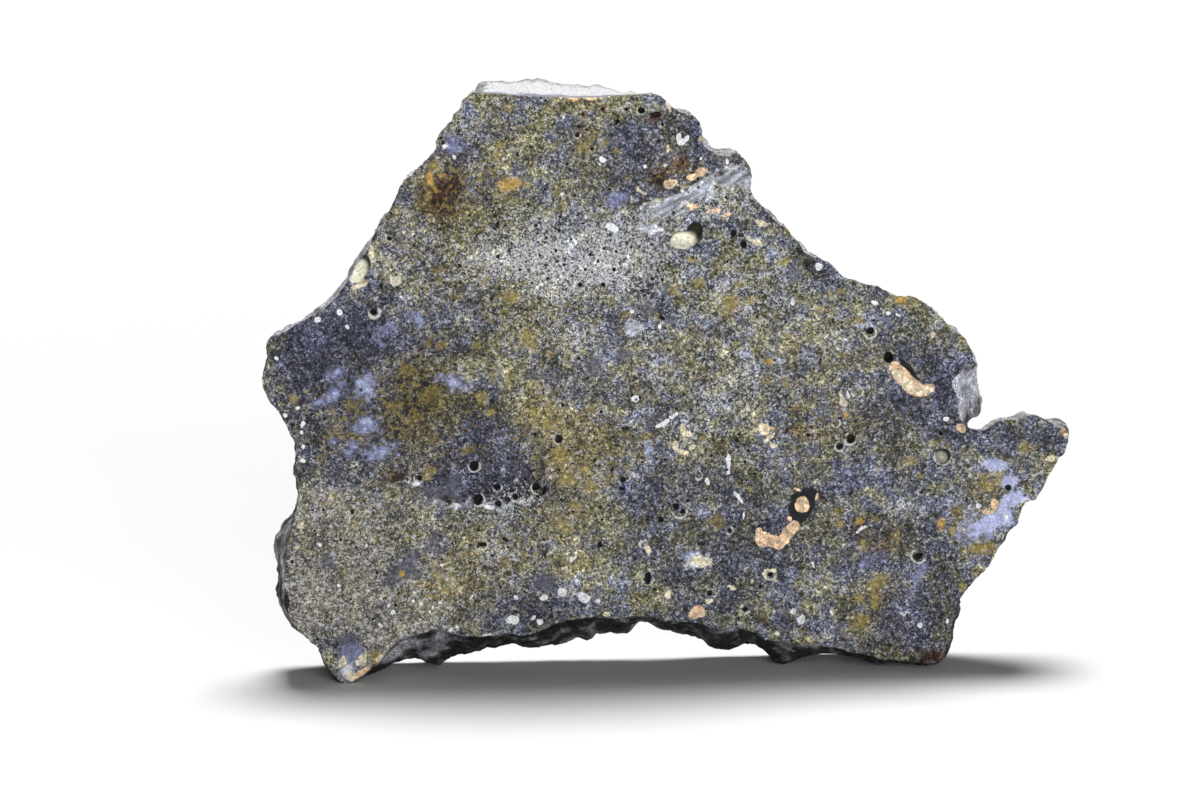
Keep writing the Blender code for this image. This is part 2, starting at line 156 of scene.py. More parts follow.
def inPicture(x, z):
    # metres back to pixels: the same steps in reverse
    x = x + picture["footToMiddle"]
    z = z + picture["footFlat"]
    turn = picture["footTurn"]
    across = x * cos(turn) - z * sin(turn)
    height = z * cos(turn) + x * sin(turn)
    return (
        across / pixel + picture["leftFootTip"][0],
        picture["leftFootTip"][1] - height * cos(picture["lookDown"]) / pixel,
    )


def smoothStep(value):
    # 0 below 0, 1 above 1, and t * t * (3 - 2t) between
    t = np.clip(value, 0.0, 1.0)
    return t * t * (3.0 - 2.0 * t)


def latticeNoise(points, grain, seed=0):
    # a random number at each corner of a cubic lattice, blended by smoothStep; runs from -1 to 1
    place = points / grain
    cell = np.floor(place).astype(np.int64)
    share = smoothStep(place - cell)
    mask = 0x7FFFFFFF
    total = np.zeros(len(points))
    for corner in np.ndindex(2, 2, 2):
        key = (cell + np.array(corner)) @ np.array([73856093, 19349663, 83492791])
        key = (key + seed * 668265263) & mask
        key = ((key ^ (key >> 13)) * 1274126177) & mask
        key = ((key ^ (key >> 15)) * 2246822519) & mask
        key = key ^ (key >> 14)
        weight = np.prod(np.where(np.array(corner) > 0, share, 1.0 - share), axis=1)
        total += weight * (2.0 * key / mask - 1.0)
    return total


def fractalNoise(points, grain, octaves, seed=0):
    # each octave has half the grain and half the height of the one before
    total = np.zeros(len(points))
    for octave in range(octaves):
        total += latticeNoise(points, grain / 2 ** octave, seed + octave) / 2 ** octave
    return total


# Step 1: the rim of the cut face, walked at equal steps

rim = {
    "step": 2.55,               # pixels between the points along the edge
    "rounding": 1.3,            # pixels over which a corner is rounded
    "raggedness": (0.75, 5.0),  # how far the edge wanders, and over what length, in pixels
    "sawnRaggedness": 0.25,     # the share of it that the sawn top edge has
    "backRaggedness": 1.5,      # pixels by which the sawn strip's far edge wanders
    "leanSmoothing": 0.0045,    # metres over which the wall's outward direction is averaged
    "lobeDirection": (0.90, -0.42),
    "sawnTop": (474.0, 652.0, 110.0),   # the flat sawn strip: from x, to x, above y
    "sawnFade": 20.0,
}


def blurLoop(values, width, step):
    # running average around a closed loop, weighted by a bell curve of this width
    reach = int(3.0 * width / step) + 1
    shifts = np.arange(-reach, reach + 1)
    weights = np.exp(-0.5 * (shifts * step / width) ** 2)
    weights /= weights.sum()
    return sum(w * np.roll(values, -s, axis=0) for s, w in zip(shifts, weights))


def walkedEdge():
    # the listed places joined by lines and read at equal distances along them
    rows = np.array(faceEdge, float)
    lobe = np.zeros(len(rows))
    lobe[len(beforeLobe) + 1:len(beforeLobe) + len(rightLobe)] = 1.0
    loop = np.column_stack([rows, lobe])
    loop = np.vstack([loop, loop[:1]])
    along = np.concatenate([[0.0], np.cumsum(np.hypot(*np.diff(loop[:, :2], axis=0).T))])
    count = int(round(along[-1] / rim["step"]))
    places = np.arange(count) * along[-1] / count
    walked = np.column_stack([np.interp(places, along, column) for column in loop.T])
    return blurLoop(walked, rim["rounding"], rim["step"])


def outwardOf(x, z):
    # unit normals of a loop that runs clockwise: the step along it, turned a quarter left
    stepX = np.roll(x, -1) - np.roll(x, 1)
    stepZ = np.roll(z, -1) - np.roll(z, 1)
    size = np.hypot(stepX, stepZ)
    return np.column_stack([-stepZ / size, stepX / size])


def makeRim():
    # the edge in metres, its wall's reach, outward direction and how far it is sawn
    x, y, reach, lobe = walkedEdge().T
    left, right, below = rim["sawnTop"]
    fade = rim["sawnFade"]
    sawn = smoothStep((x - left) / fade) * smoothStep((right - x) / fade) * (y < below)
    faceX, faceZ = onFace(x, y)
    outward = outwardOf(faceX, faceZ)
    lean = blurLoop(outward, rim["leanSmoothing"], rim["step"] * pixel)
    lean = (1.0 - lobe[:, None]) * lean / np.linalg.norm(lean, axis=1, keepdims=True)
    lean = lean + lobe[:, None] * np.array(rim["lobeDirection"])
    lean /= np.linalg.norm(lean, axis=1, keepdims=True)
    amount, grain = rim["raggedness"]
    places = np.column_stack([faceX, np.zeros(len(faceX)), faceZ])
    wander = fractalNoise(places, grain * pixel, 3, seed=7) * amount * pixel
    wander *= 1.0 - (1.0 - rim["sawnRaggedness"]) * sawn
    reach = reach + sawn * rim["backRaggedness"] * fractalNoise(places, 9.0 * pixel, 3, seed=8)
    return {
        "x": faceX + outward[:, 0] * wander,
        "z": faceZ + outward[:, 1] * wander,
        "reach": reach * pixel,
        "lean": lean,
        "sawn": sawn,
    }


edge = makeRim()
print("rim walked:", len(edge["x"]), "points")

# Step 2: gas bubbles that the two saw cuts opened

# x, y, half width, half height, turn in degrees, depth, all but the turn in pixels
largeBubbles = [
    (359, 269, 9, 15.5, -28, 9), (684, 240.5, 13.5, 8.6, 8, 7.5), (943.5, 456, 8, 7.5, 0, 6.5),
    (888, 357, 5, 5, 0, 7),
    (655, 116.5, 5.5, 3.5, 0, 5), (641, 112, 3.6, 3.5, 0, 5), (743, 245, 4, 4, 0, 5),
    (733, 234, 3.2, 3.2, 0, 4), (870, 331, 3.8, 4, 0, 5), (374, 312, 3.2, 3.2, 0, 4),
    (474, 466, 4.6, 5, 20, 5.5), (478, 499.5, 5, 5.4, 0, 6), (498, 504, 3.6, 4, 30, 5),
    (515, 497, 3.2, 3.4, 0, 4.5), (536, 487, 4.5, 3.6, 10, 5), (544, 490, 3.2, 4, 10, 4.5),
    (497, 487, 3.4, 3.4, 0, 4.5), (419, 478, 3.2, 3, 0, 4), (559, 439, 4.2, 4, 0, 4.5),
    (482, 545, 4.8, 2.8, 10, 4.5), (505, 540, 3.8, 2.4, 30, 3.5), (600, 545, 3, 3, 0, 3.5),
    (623, 480, 3.4, 3, 0, 4), (622, 489, 2.6, 2.2, 0, 3), (676, 507, 3.6, 4, 0, 4),
    (683, 512, 3, 2.4, 0, 3.5), (688, 501, 2.2, 2.4, 0, 3), (661, 520, 3, 3.4, 0, 3.5),
    (648, 579, 3.6, 6.8, 10, 5), (851, 439, 4.6, 4.6, 0, 6), (840, 446.5, 3.4, 3.4, 0, 3),
    (919.5, 556.5, 5, 3.4, -30, 5.5), (1009, 488, 4, 3.2, 0, 3.5), (771, 575, 3, 2.8, 0, 4),
    (746, 610, 2.6, 2.4, 0, 4), (390, 239, 2.4, 2.4, 0, 3.5), (941, 433.5, 2.6, 2.4, 0, 3.5),
    (602, 110, 2.2, 1.8, 0, 3), (662, 318, 3, 2, 30, 3), (730, 531, 2.6, 2.6, 0, 2.5),
    (710, 594, 3, 2.8, 0, 4), (695, 231.5, 7, 9, 0, 6.5),
]
# x, y, radius of the small ones
smallBubbles = [
    (382, 286, 2), (583, 116, 2), (579, 128, 2.4), (587, 131, 1.8), (577, 136.5, 2.3), (617, 123, 2.4),
    (626, 111, 2.2), (662, 126, 2), (658, 142, 2), (592, 150, 2), (567, 165, 2), (442, 139, 1.8),
    (444, 144, 2), (559, 231, 1.8), (536, 226, 2), (498, 224, 2), (556, 251, 1.8), (498, 257, 2),
    (460, 266, 2.3), (614, 270, 2.2), (580, 285, 2.5), (603, 285, 2.5), (564, 265, 1.8),
    (520, 270, 1.8), (535, 434, 2), (508, 458, 2), (761, 587, 2), (291, 562, 2), (312, 510, 1.5),
    (323, 510, 1.8), (352, 512, 2.4), (314, 531, 1.5), (376, 573, 2), (395, 606, 2), (398, 594, 1.5),
    (293, 425, 2), (571, 240, 1.6), (545, 243, 1.5), (590, 255, 2), (598, 262, 1.6), (604, 249, 1.8),
    (585, 270, 1.8), (572, 276, 1.7), (548, 279, 1.6), (532, 283, 1.6), (512, 244, 1.5), (526, 262, 1.4),
    (540, 256, 1.7), (616, 252, 1.8), (624, 260, 1.6), (631, 248, 1.5), (652, 279, 2), (662, 280, 1.8),
    (641, 291, 1.5), (610, 236, 1.5), (583, 224, 1.6), (560, 218, 1.6), (528, 205, 1.5), (575, 196, 1.5),
    (640, 398, 1.8), (632, 395, 1.6), (704, 359, 1.5), (715, 385, 1.5), (744, 419, 1.6), (770, 424, 2),
    (787, 430, 1.8), (737, 440, 1.8), (749, 451, 1.6), (711, 456, 1.8), (808, 435, 2.2), (563, 405, 2),
    (601, 412, 2), (470, 563, 1.6), (461, 564, 1.4), (452, 544, 1.5), (492, 556, 1.5), (508, 548, 1.6),
    (489, 541, 1.4), (441, 560, 1.4), (447, 555, 1.3), (637, 600, 1.5), (677, 588, 1.5), (602, 520, 1.8),
    (573, 512, 1.6), (561, 500, 1.6), (559, 470, 1.6), (595, 460, 1.8), (612, 470, 2.2), (655, 560, 1.5),
    (829, 548, 1.2), (855, 600, 1.4), (793, 466, 1.5), (755, 474, 1.8), (745, 462, 2), (727, 470, 1.8),
    (350, 600, 1.3), (372, 620, 1.4), (330, 620, 1.3), (340, 540, 1.4), (420, 520, 1.4), (316, 640, 1.4),
    (487, 200, 1.5), (505, 226, 1.4), (470, 216, 1.4), (432, 205, 1.3), (545, 190, 1.4), (610, 190, 1.5),
    (700, 300, 1.4), (760, 330, 1.3), (668, 350, 1.5), (690, 330, 1.3), (820, 360, 1.3), (780, 300, 1.4),
]
bubbleShape = {
    "cutAway": 0.13,              # the saw passed this share of the depth outside the middle
    "wobble": (0.10, 0.06),       # how far the outline bulges twice and three times around
    "smallDepth": 1.25,           # depth of a small bubble in radii
    "ringShares": (0.3, 0.55, 0.75, 0.9, 0.985, 1.14, 1.34),
    "smallRingShares": (0.55, 0.96, 1.3),
    "pointSpacing": 0.00024,
    "clearShare": 1.5,            # inside this share of a bubble the face has no other points
    "cradle": ((906, 376, 8.0, 25, -41, 3.2),),     # a long hollow with a rounded lining
}
backBubbles = {
    "count": 24,
    "seed": 11,
    "radius": (0.0004, 0.0013),
    "margin": 0.0045,
    "smallness": 2.5,
    "spacing": 2.0,
    "stretch": (0.8, 1.25),
    "smallCount": 150,
    "smallRadius": (0.00018, 0.00038),
}


def insideLoop(x, z, loopX, loopZ):
    # true where a line to the right crosses the loop an odd number of times, and the distance to it
    nextX, nextZ = np.roll(loopX, -1), np.roll(loopZ, -1)
    inside = np.zeros(len(x), bool)
    nearest = np.zeros(len(x))
    for part in np.array_split(np.arange(len(x)), max(1, len(x) // 3000)):
        px, pz = x[part, None], z[part, None]
        spans = (loopZ > pz) != (nextZ > pz)
        crossing = loopX + (pz - loopZ) / np.where(spans, nextZ - loopZ, 1.0) * (nextX - loopX)
        inside[part] = np.count_nonzero(spans & (crossing > px), axis=1) % 2 == 1
        nearest[part] = np.sqrt(np.min((loopX - px) ** 2 + (loopZ - pz) ** 2, axis=1))
    return inside, nearest


def placeBubbles(rows):
    # rows in pixels become x, z, half width, half height, turn and depth in metres
    rows = np.array(rows, float)
    x, z = onFace(rows[:, 0], rows[:, 1])
    turn = np.radians(rows[:, 4]) + picture["footTurn"]
    return np.column_stack([x, z, rows[:, 2] * pixel, rows[:, 3] * pixel, turn, rows[:, 5] * pixel])


def smallRows(rows, depth):
    return [(x, y, r, r, 0.0, r * depth) for x, y, r in rows]


def drawBackBubbles():
    # the same draws as the solid's back bubbles, then smaller ones that only the surface has
    chance = Random(backBubbles["seed"])
    x, y, _ = np.array(faceEdge, float).T
    edgeX, edgeZ = onFace(x, y)
    small, large = backBubbles["radius"]
    placed = []
    while len(placed) < backBubbles["count"] + backBubbles["smallCount"]:
        bx = chance.uniform(edgeX.min(), edgeX.max())
        bz = chance.uniform(edgeZ.min(), edgeZ.max())
        radius = small + (large - small) * chance.random() ** backBubbles["smallness"]
        stretch = chance.uniform(*backBubbles["stretch"])
        turn = chance.uniform(0.0, tau)
        if len(placed) >= backBubbles["count"]:
            radius = chance.uniform(*backBubbles["smallRadius"])
        clear = all(
            np.hypot(bx - p[0], bz - p[1]) > backBubbles["spacing"] * (radius + p[5])
            for p in placed
        )
        inside, nearest = insideLoop(np.array([bx]), np.array([bz]), edgeX, edgeZ)
        margin = backBubbles["margin"] if len(placed) < backBubbles["count"] else 4.0 * radius
        if clear and inside[0] and nearest[0] > margin:
            placed.append((bx, bz, radius * stretch, radius / stretch, turn, radius))
    return np.array(placed)


def shareOfBubble(x, z, bubble, index):
    # distance from the middle in units of the bubble's wavy outline, so its rim is at 1
    cx, cz, halfWidth, halfHeight, turn, _ = bubble
    dx, dz = x - cx, z - cz
    across = (dx * cos(turn) - dz * sin(turn)) / halfWidth
    up = (dx * sin(turn) + dz * cos(turn)) / halfHeight
    angle = np.arctan2(up, across)
    two, three = bubbleShape["wobble"]
    wavy = 1.0 + two * np.sin(2.0 * angle + 1.7 * index) + three * np.sin(3.0 * angle + 2.9 * index)
    return np.hypot(across, up) / wavy


def bowlDepth(x, z, bubbles):
    # the deepest bowl at each place: depth * (sqrt(1 - share^2) - cutAway), never below zero
    depth = np.zeros(len(x))
    nearestShare = np.full(len(x), 9.0)
    for index, bubble in enumerate(bubbles):
        reach = 2.2 * max(bubble[2], bubble[3])
        near = np.flatnonzero((abs(x - bubble[0]) < reach) & (abs(z - bubble[1]) < reach))
        share = shareOfBubble(x[near], z[near], bubble, index)
        bowl = np.sqrt(np.clip(1.0 - share * share, 0.0, 1.0)) - bubbleShape["cutAway"]
        depth[near] = np.maximum(depth[near], bubble[5] * bowl)
        nearestShare[near] = np.minimum(nearestShare[near], share)
    return depth, nearestShare


def bubblePoints(bubbles):
    # rings of points around each bubble's middle, so that its bowl comes out round
    points = []
    for index, bubble in enumerate(bubbles):
        cx, cz, halfWidth, halfHeight, turn, _ = bubble
        radius = 0.5 * (halfWidth + halfHeight)
        small = radius < 2.3 * pixel
        points.append([[cx, cz]])
        for share in bubbleShape["smallRingShares" if small else "ringShares"]:
            count = max(7, int(tau * radius * min(share, 1.0) / bubbleShape["pointSpacing"]))
            angle = (np.arange(count) + 0.5 * index) * tau / count
            two, three = bubbleShape["wobble"]
            wavy = 1.0 + two * np.sin(2.0 * angle + 1.7 * index) + three * np.sin(3.0 * angle + 2.9 * index)
            across = share * wavy * halfWidth * np.cos(angle)
            up = share * wavy * halfHeight * np.sin(angle)
            points.append(np.column_stack([
                cx + across * cos(turn) + up * sin(turn),
                cz - across * sin(turn) + up * cos(turn),
            ]))
    return np.vstack(points)


frontBubbles = placeBubbles(
    largeBubbles + list(bubbleShape["cradle"]) + smallRows(smallBubbles, bubbleShape["smallDepth"])
)
rearBubbles = drawBackBubbles()
print("bubbles placed:", len(frontBubbles), "in front,", len(rearBubbles), "behind")

# Step 3: what the cut shows, as soft zones and spots in pixels of the picture

# x, y, half width, half height, turn in degrees, strength
zones = {
    "navy": [
        (350, 345, 50, 26, 0, 0.55), (360, 405, 60, 46, 0, 0.45), (465, 345, 24, 12, 0, 0.4),
        (470, 490, 46, 18, 0, 0.5), (512, 490, 26, 18, 0, 0.5), (462, 152, 18, 17, 20, 0.75),
        (480, 160, 16, 12, 0, 0.3), (360, 455, 40, 14, 0, 0.35), (630, 145, 40, 20, 0, 0.35),
        (330, 320, 60, 26, -20, 0.45), (345, 380, 60, 50, 0, 0.45), (380, 335, 60, 18, 0, 0.35),
        (300, 380, 30, 40, 0, 0.4),
        (345, 335, 60, 22, -10, 0.6), (310, 345, 30, 34, 0, 0.45), (300, 420, 22, 40, 0, 0.45),
        (360, 350, 60, 16, 0, 0.5), (470, 335, 30, 14, 0, 0.45),
        (600, 180, 40, 22, 0, 0.45), (660, 185, 40, 18, 0, 0.4), (470, 470, 70, 26, 0, 0.5), (510, 450, 30, 20, 0, 0.4),
        (690, 490, 60, 26, 0, 0.35), (760, 500, 46, 30, 0, 0.4), (770, 540, 60, 26, 0, 0.35),
        (700, 580, 60, 26, 0, 0.45), (880, 480, 60, 22, 0, 0.35),
        (900, 530, 60, 30, 0, 0.45), (870, 545, 40, 20, 0, 0.35), (890, 620, 60, 40, 0, 0.45),
        (535, 612, 40, 16, 0, 0.4), (700, 620, 60, 16, 0, 0.4), (870, 410, 50, 20, 0, 0.35),
        (860, 350, 40, 24, 0, 0.3), (640, 290, 26, 12, 0, 0.3), (390, 455, 50, 12, 0, 0.35),
        (352, 316, 42, 26, -25, 0.9), (300, 350, 34, 20, -15, 0.7), (415, 349, 45, 10, 4, 0.65),
        (345, 342, 34, 14, 0, 0.75), (481, 434, 28, 21, 0, 1.0), (452, 452, 22, 10, 10, 0.6),
        (487, 478, 62, 20, 5, 0.85), (535, 490, 18, 14, 0, 0.85), (455, 490, 30, 12, 20, 0.75),
        (712, 142, 32, 26, 30, 0.8), (662, 122, 26, 14, 10, 0.65), (640, 150, 36, 22, 0, 0.55),
        (735, 166, 20, 12, 30, 0.6), (812, 500, 20, 22, 10, 0.95), (785, 521, 22, 17, -20, 0.85),
        (842, 488, 24, 12, -35, 0.6), (530, 605, 40, 16, 5, 0.75), (560, 622, 40, 10, 0, 0.6),
        (820, 270, 28, 10, 28, 0.75), (797, 250, 9, 7, 0, 0.7), (855, 287, 26, 8, 15, 0.45),
        (945, 393, 24, 38, 0, 1.0), (925, 362, 24, 18, 20, 0.75), (897, 349, 20, 15, 20, 0.75),
        (972, 432, 34, 11, 0, 0.75), (905, 398, 24, 15, 35, 0.85), (925, 425, 34, 18, 10, 0.7),
        (1012, 436, 34, 14, 0, 0.55), (1044, 436, 20, 16, 0, 0.6), (655, 500, 62, 42, 0, 0.45),
        (735, 562, 62, 32, 0, 0.5), (577, 380, 42, 22, 25, 0.55), (628, 330, 30, 12, 25, 0.5),
        (655, 302, 22, 10, 25, 0.45), (930, 600, 24, 44, 20, 0.6), (885, 610, 45, 40, 0, 0.3),
        (349, 641, 16, 10, 0, 0.85), (312, 375, 26, 20, 0, 0.4), (615, 205, 22, 14, 0, 0.45),
        (500, 130, 26, 14, 20, 0.4), (760, 215, 26, 14, 30, 0.55), (735, 228, 18, 12, 0, 0.5),
        (1030, 470, 22, 14, -30, 0.45), (870, 465, 50, 16, 0, 0.3), (400, 330, 30, 14, 0, 0.45),
        (780, 375, 40, 22, 0, 0.22), (690, 400, 40, 24, 20, 0.3),
        (655, 420, 26, 16, 0, 0.4), (355, 455, 30, 12, 0, 0.5), (320, 470, 26, 8, 0, 0.45),
    ],
    "pale": [
        (561, 264, 92, 30, 3, 0.95), (600, 274, 45, 16, 0, 0.8), (613, 240, 38, 18, 0, 0.6),
        (645, 262, 30, 16, 0, 0.45), (500, 264, 42, 13, 0, 0.5), (540, 226, 36, 12, 0, 0.35),
        (632, 322, 7, 8, 0, 0.9), (642, 335, 9, 9, 0, 0.6), (520, 500, 22, 12, 0, 0.75),
        (494, 503, 26, 9, -10, 0.7), (412, 483, 11, 7, 0, 0.7), (903, 511, 15, 9, 0, 0.75),
        (699, 563, 18, 9, 0, 0.9), (456, 132, 12, 10, 0, 0.4), (700, 212, 60, 22, -20, 0.35),
        (435, 235, 22, 10, 20, 0.35), (395, 260, 22, 14, 0, 0.3), (560, 330, 46, 20, 0, 0.25),
        (730, 390, 50, 24, 0, 0.25), (830, 330, 30, 20, 0, 0.2), (500, 550, 22, 14, 0, 0.5),
        (575, 330, 22, 16, 0, 0.3), (760, 300, 60, 26, 0, 0.2), (690, 430, 30, 18, 0, 0.3),
    ],
    "ochre": [
        (440, 556, 24, 15, 0, 0.5), (441, 591, 24, 15, 0, 0.35), (800, 470, 19, 15, 0, 0.35),
        (641, 271, 19, 15, 0, 0.3), (400, 233, 14, 15, 0, 0.35), (921, 590, 18, 15, 0, 0.3),
        (555, 470, 40, 78, 0, 0.85), (545, 415, 38, 24, 0, 0.7), (590, 450, 26, 40, 0, 0.5),
        (400, 418, 72, 52, 10, 0.3), (442, 380, 34, 18, 0, 0.45), (425, 440, 40, 22, 0, 0.5),
        (418, 400, 44, 44, 10, 0.45), (446, 205, 30, 16, 0, 0.75), (424, 190, 10, 20, 10, 0.6),
        (468, 190, 9, 22, 0, 0.5), (520, 300, 52, 30, 0, 0.4), (528, 338, 42, 28, 0, 0.45),
        (731, 304, 13, 14, 0, 0.85), (696, 285, 9, 9, 0, 0.6), (739, 285, 9, 9, 0, 0.55),
        (592, 142, 26, 32, 0, 0.45), (660, 170, 26, 18, 0, 0.35), (878, 590, 13, 17, 0, 0.9),
        (862, 621, 15, 12, 0, 0.8), (886, 537, 20, 13, 0, 0.7), (858, 533, 8, 14, 0, 0.4),
        (495, 562, 62, 30, 0, 0.45), (470, 596, 62, 22, 0, 0.4), (380, 500, 60, 14, 0, 0.3),
        (984, 551, 20, 9, 10, 1.0), (953, 524, 9, 16, 0, 0.8), (992, 484, 17, 13, 0, 0.85),
        (572, 558, 22, 20, 0, 0.55), (470, 250, 90, 50, 0, 0.3), (480, 160, 60, 46, 0, 0.35),
        (680, 380, 60, 50, 0, 0.2), (800, 330, 60, 40, 0, 0.25), (830, 395, 40, 24, 0, 0.25),
        (855, 355, 26, 18, 0, 0.3), (935, 447, 8, 12, 0, 0.7), (1050, 462, 12, 8, -50, 0.6),
        (660, 600, 40, 22, 0, 0.25), (940, 340, 20, 12, 0, 0.35), (710, 470, 34, 20, 0, 0.25),
        (420, 470, 16, 9, 0, 0.8), (905, 308, 10, 8, 0, 0.4), (765, 590, 14, 14, 0, 0.3),
        (740, 500, 16, 14, 0, 0.35), (350, 430, 40, 24, 0, 0.35), (640, 450, 24, 12, 0, 0.3),
        (830, 650, 30, 6, 0, 0.4), (900, 650, 20, 8, 0, 0.4), (800, 430, 40, 12, 0, 0.3),
    ],
    "beige": [
        (350, 570, 72, 72, 0, 0.95), (330, 505, 36, 22, 0, 0.85), (420, 615, 52, 26, 0, 0.7),
        (448, 560, 40, 30, 0, 0.45), (310, 600, 26, 34, 0, 0.8), (375, 640, 30, 20, 0, 0.7),
        (400, 510, 40, 16, 0, 0.5), (470, 625, 20, 10, 0, 0.3),
    ],
    "brown": [
        (446, 187, 24, 22, 0, 1.3), (660, 179, 20, 13, -15, 1.0), (680, 168, 10, 9, 0, 1.1),
        (402, 480, 14, 6.5, 5, 1.0), (390, 476, 8, 7, 0, 0.6), (800, 431, 28, 10, 0, 0.6),
        (862, 420, 16, 9, 0, 0.35), (656, 116, 6, 4, 0, 1.2), (641, 112, 4, 4, 0, 1.2), (603, 110, 3, 3, 0, 1.0),
        (583, 116, 3, 3, 0, 1.0), (579, 130, 4, 8, 0, 0.9), (938, 652, 13, 13, -30, 1.2), (880, 542, 22, 10, -10, 0.6),
        (858, 531, 7, 10, 0, 0.5), (783.5, 231, 5.5, 4.5, 30, 1.2), (956, 336, 5, 4.5, 0, 1.2),
        (624, 179, 4, 5, 0, 0.8), (555, 104, 8, 3, 0, 0.7), (585, 103, 26, 4, 0, 0.6),
        (985, 566, 4, 3, 0, 1.0), (478, 233, 5, 5, 0, 0.7), (768, 619, 8, 7, 0, 0.55),
        (650, 257, 5, 3, 0, 0.7), (352, 508, 5, 5, 0, 0.5), (288, 572, 4, 8, 0, 0.6),
        (470, 286, 8, 4, 0, 0.4), (725, 446, 5, 5, 0, 0.4), (846, 432, 12, 8, 0, 0.4),
    ],
    "olive": [
        (345, 400, 50, 40, 0, 0.55), (420, 395, 50, 36, 0, 0.6), (390, 430, 60, 22, 0, 0.5),
        (450, 420, 34, 20, 0, 0.4), (320, 430, 26, 16, 0, 0.4), (430, 250, 40, 20, 0, 0.25),
        (400, 310, 60, 16, 0, 0.3), (480, 310, 40, 20, 0, 0.2), (820, 610, 60, 30, 0, 0.2),
        (678, 270, 10, 7, 0, 0.9), (402, 384, 20, 12, 0, 0.85), (423, 380, 16, 10, 0, 0.6),
        (468, 351, 26, 5, 3, 0.7), (377, 394, 14, 10, 0, 0.6), (899, 632, 9, 19, 15, 0.95),
        (420, 412, 30, 10, 0, 0.5), (390, 435, 26, 12, 0, 0.45), (724, 184, 5, 6, 0, 0.9),
        (735, 185, 5, 5, 0, 0.9), (800, 261, 6, 8, 0, 0.7), (340, 386, 10, 5, 0, 0.7),
        (318, 388, 10, 20, 0, 0.35), (300, 380, 20, 26, 0, 0.35), (915, 377, 9, 8, 0, 0.5),
        (929, 343, 18, 12, 0, 0.35), (645, 265, 10, 8, 0, 0.3), (460, 225, 22, 14, 0, 0.3),
        (618, 434, 12, 6, 0, 0.7), (893, 452, 12, 10, 0, 0.5), (712, 540, 12, 10, 0, 0.4),
    ],
    "dim": [
        (446, 188, 22, 22, 0, 0.6), (484, 350, 28, 16, 0, 0.5), (355, 352, 30, 18, 0, 0.35),
        (418, 404, 40, 36, 0, 0.42), (318, 430, 18, 18, 0, 0.35), (448, 512, 38, 20, 0, 0.55),
        (520, 512, 20, 18, 0, 0.65), (562, 306, 22, 17, 0, 0.38), (642, 292, 20, 44, 0, 0.36),
        (801, 508, 22, 20, 0, 0.6), (401, 431, 22, 17, 0, 0.35), (440, 391, 20, 16, 0, 0.25), (881, 391, 22, 17, 20, 0.5), (680, 430, 19, 17, 0, 0.4),
        (760, 446, 22, 34, 0, 0.32), (752, 592, 30, 17, 0, 0.36), (642, 552, 22, 17, 0, 0.26),
        (960, 545, 18, 34, 0, 0.33), (561, 110, 24, 13, 0, 0.25), (640, 151, 22, 15, 0, 0.25),
        (362, 470, 24, 15, 0, 0.25), (318, 632, 20, 16, 0, 0.3), (960, 432, 18, 13, 0, 0.35),
    ],
    "lift": [
        (880, 632, 24, 13, 0, 0.5), (442, 630, 22, 12, 0, 0.35),
        (632, 325, 6, 6, 0, 0.3), (586, 590, 46, 20, 0, 0.75), (436, 593, 42, 17, 0, 0.45),
        (402, 628, 34, 15, 5, 0.6), (358, 592, 20, 17, 0, 0.45), (822, 591, 44, 21, 0, 0.7),
        (848, 551, 34, 17, 0, 0.55), (856, 630, 46, 17, 0, 0.75), (921, 592, 20, 18, 0, 0.45),
        (862, 470, 46, 19, 0, 0.6), (918, 440, 19, 15, 0, 0.4), (800, 430, 20, 17, 0, 0.5),
        (640, 470, 19, 17, 0, 0.6), (720, 350, 22, 17, 0, 0.55), (584, 350, 34, 16, 0, 0.35),
        (922, 348, 20, 15, 0, 0.6), (320, 350, 19, 17, 0, 0.5), (361, 310, 21, 16, 0, 0.4),
        (848, 309, 36, 15, 14, 0.55), (680, 310, 19, 17, 0, 0.3), (760, 231, 19, 15, 0, 0.55),
        (792, 268, 18, 14, 25, 0.35), (558, 268, 21, 15, 0, 0.3), (499, 310, 32, 15, 0, 0.25),
        (999, 470, 17, 15, 0, 0.4), (560, 550, 19, 17, 0, 0.4), (637, 106, 14, 10, 0, 0.5),
    ],
    "slate": [
        (880, 430, 24, 18, 0, 0.55), (922, 466, 21, 17, 0, 0.45), (640, 391, 20, 16, 0, 0.45),
        (760, 590, 20, 17, 0, 0.4), (800, 553, 20, 15, 0, 0.45), (721, 550, 19, 16, 0, 0.4),
        (521, 590, 22, 15, 0, 0.4), (919, 512, 20, 16, 0, 0.4), (958, 470, 19, 16, 0, 0.5),
        (957, 506, 17, 15, 0, 0.3), (680, 510, 20, 16, 0, 0.3), (842, 430, 16, 14, 0, 0.3),
        (402, 573, 16, 10, 0, 1.0), (412, 556, 13, 4.5, -38, 0.9), (435, 541, 8, 10, 20, 0.85),
        (326, 563, 9, 5, 0, 0.7), (545, 583, 13, 11, 0, 0.85), (384, 613, 4, 4, 0, 0.7),
        (652, 452, 18, 14, 0, 0.45), (496, 478, 14, 10, 0, 0.6), (478, 385, 18, 9, 10, 0.5),
        (560, 600, 26, 12, 0, 0.4), (830, 575, 30, 18, 0, 0.35), (1020, 440, 16, 10, 0, 0.3),
        (668, 130, 26, 12, 0, 0.4), (590, 395, 22, 14, 0, 0.35), (860, 400, 14, 9, 0, 0.3),
    ],
}

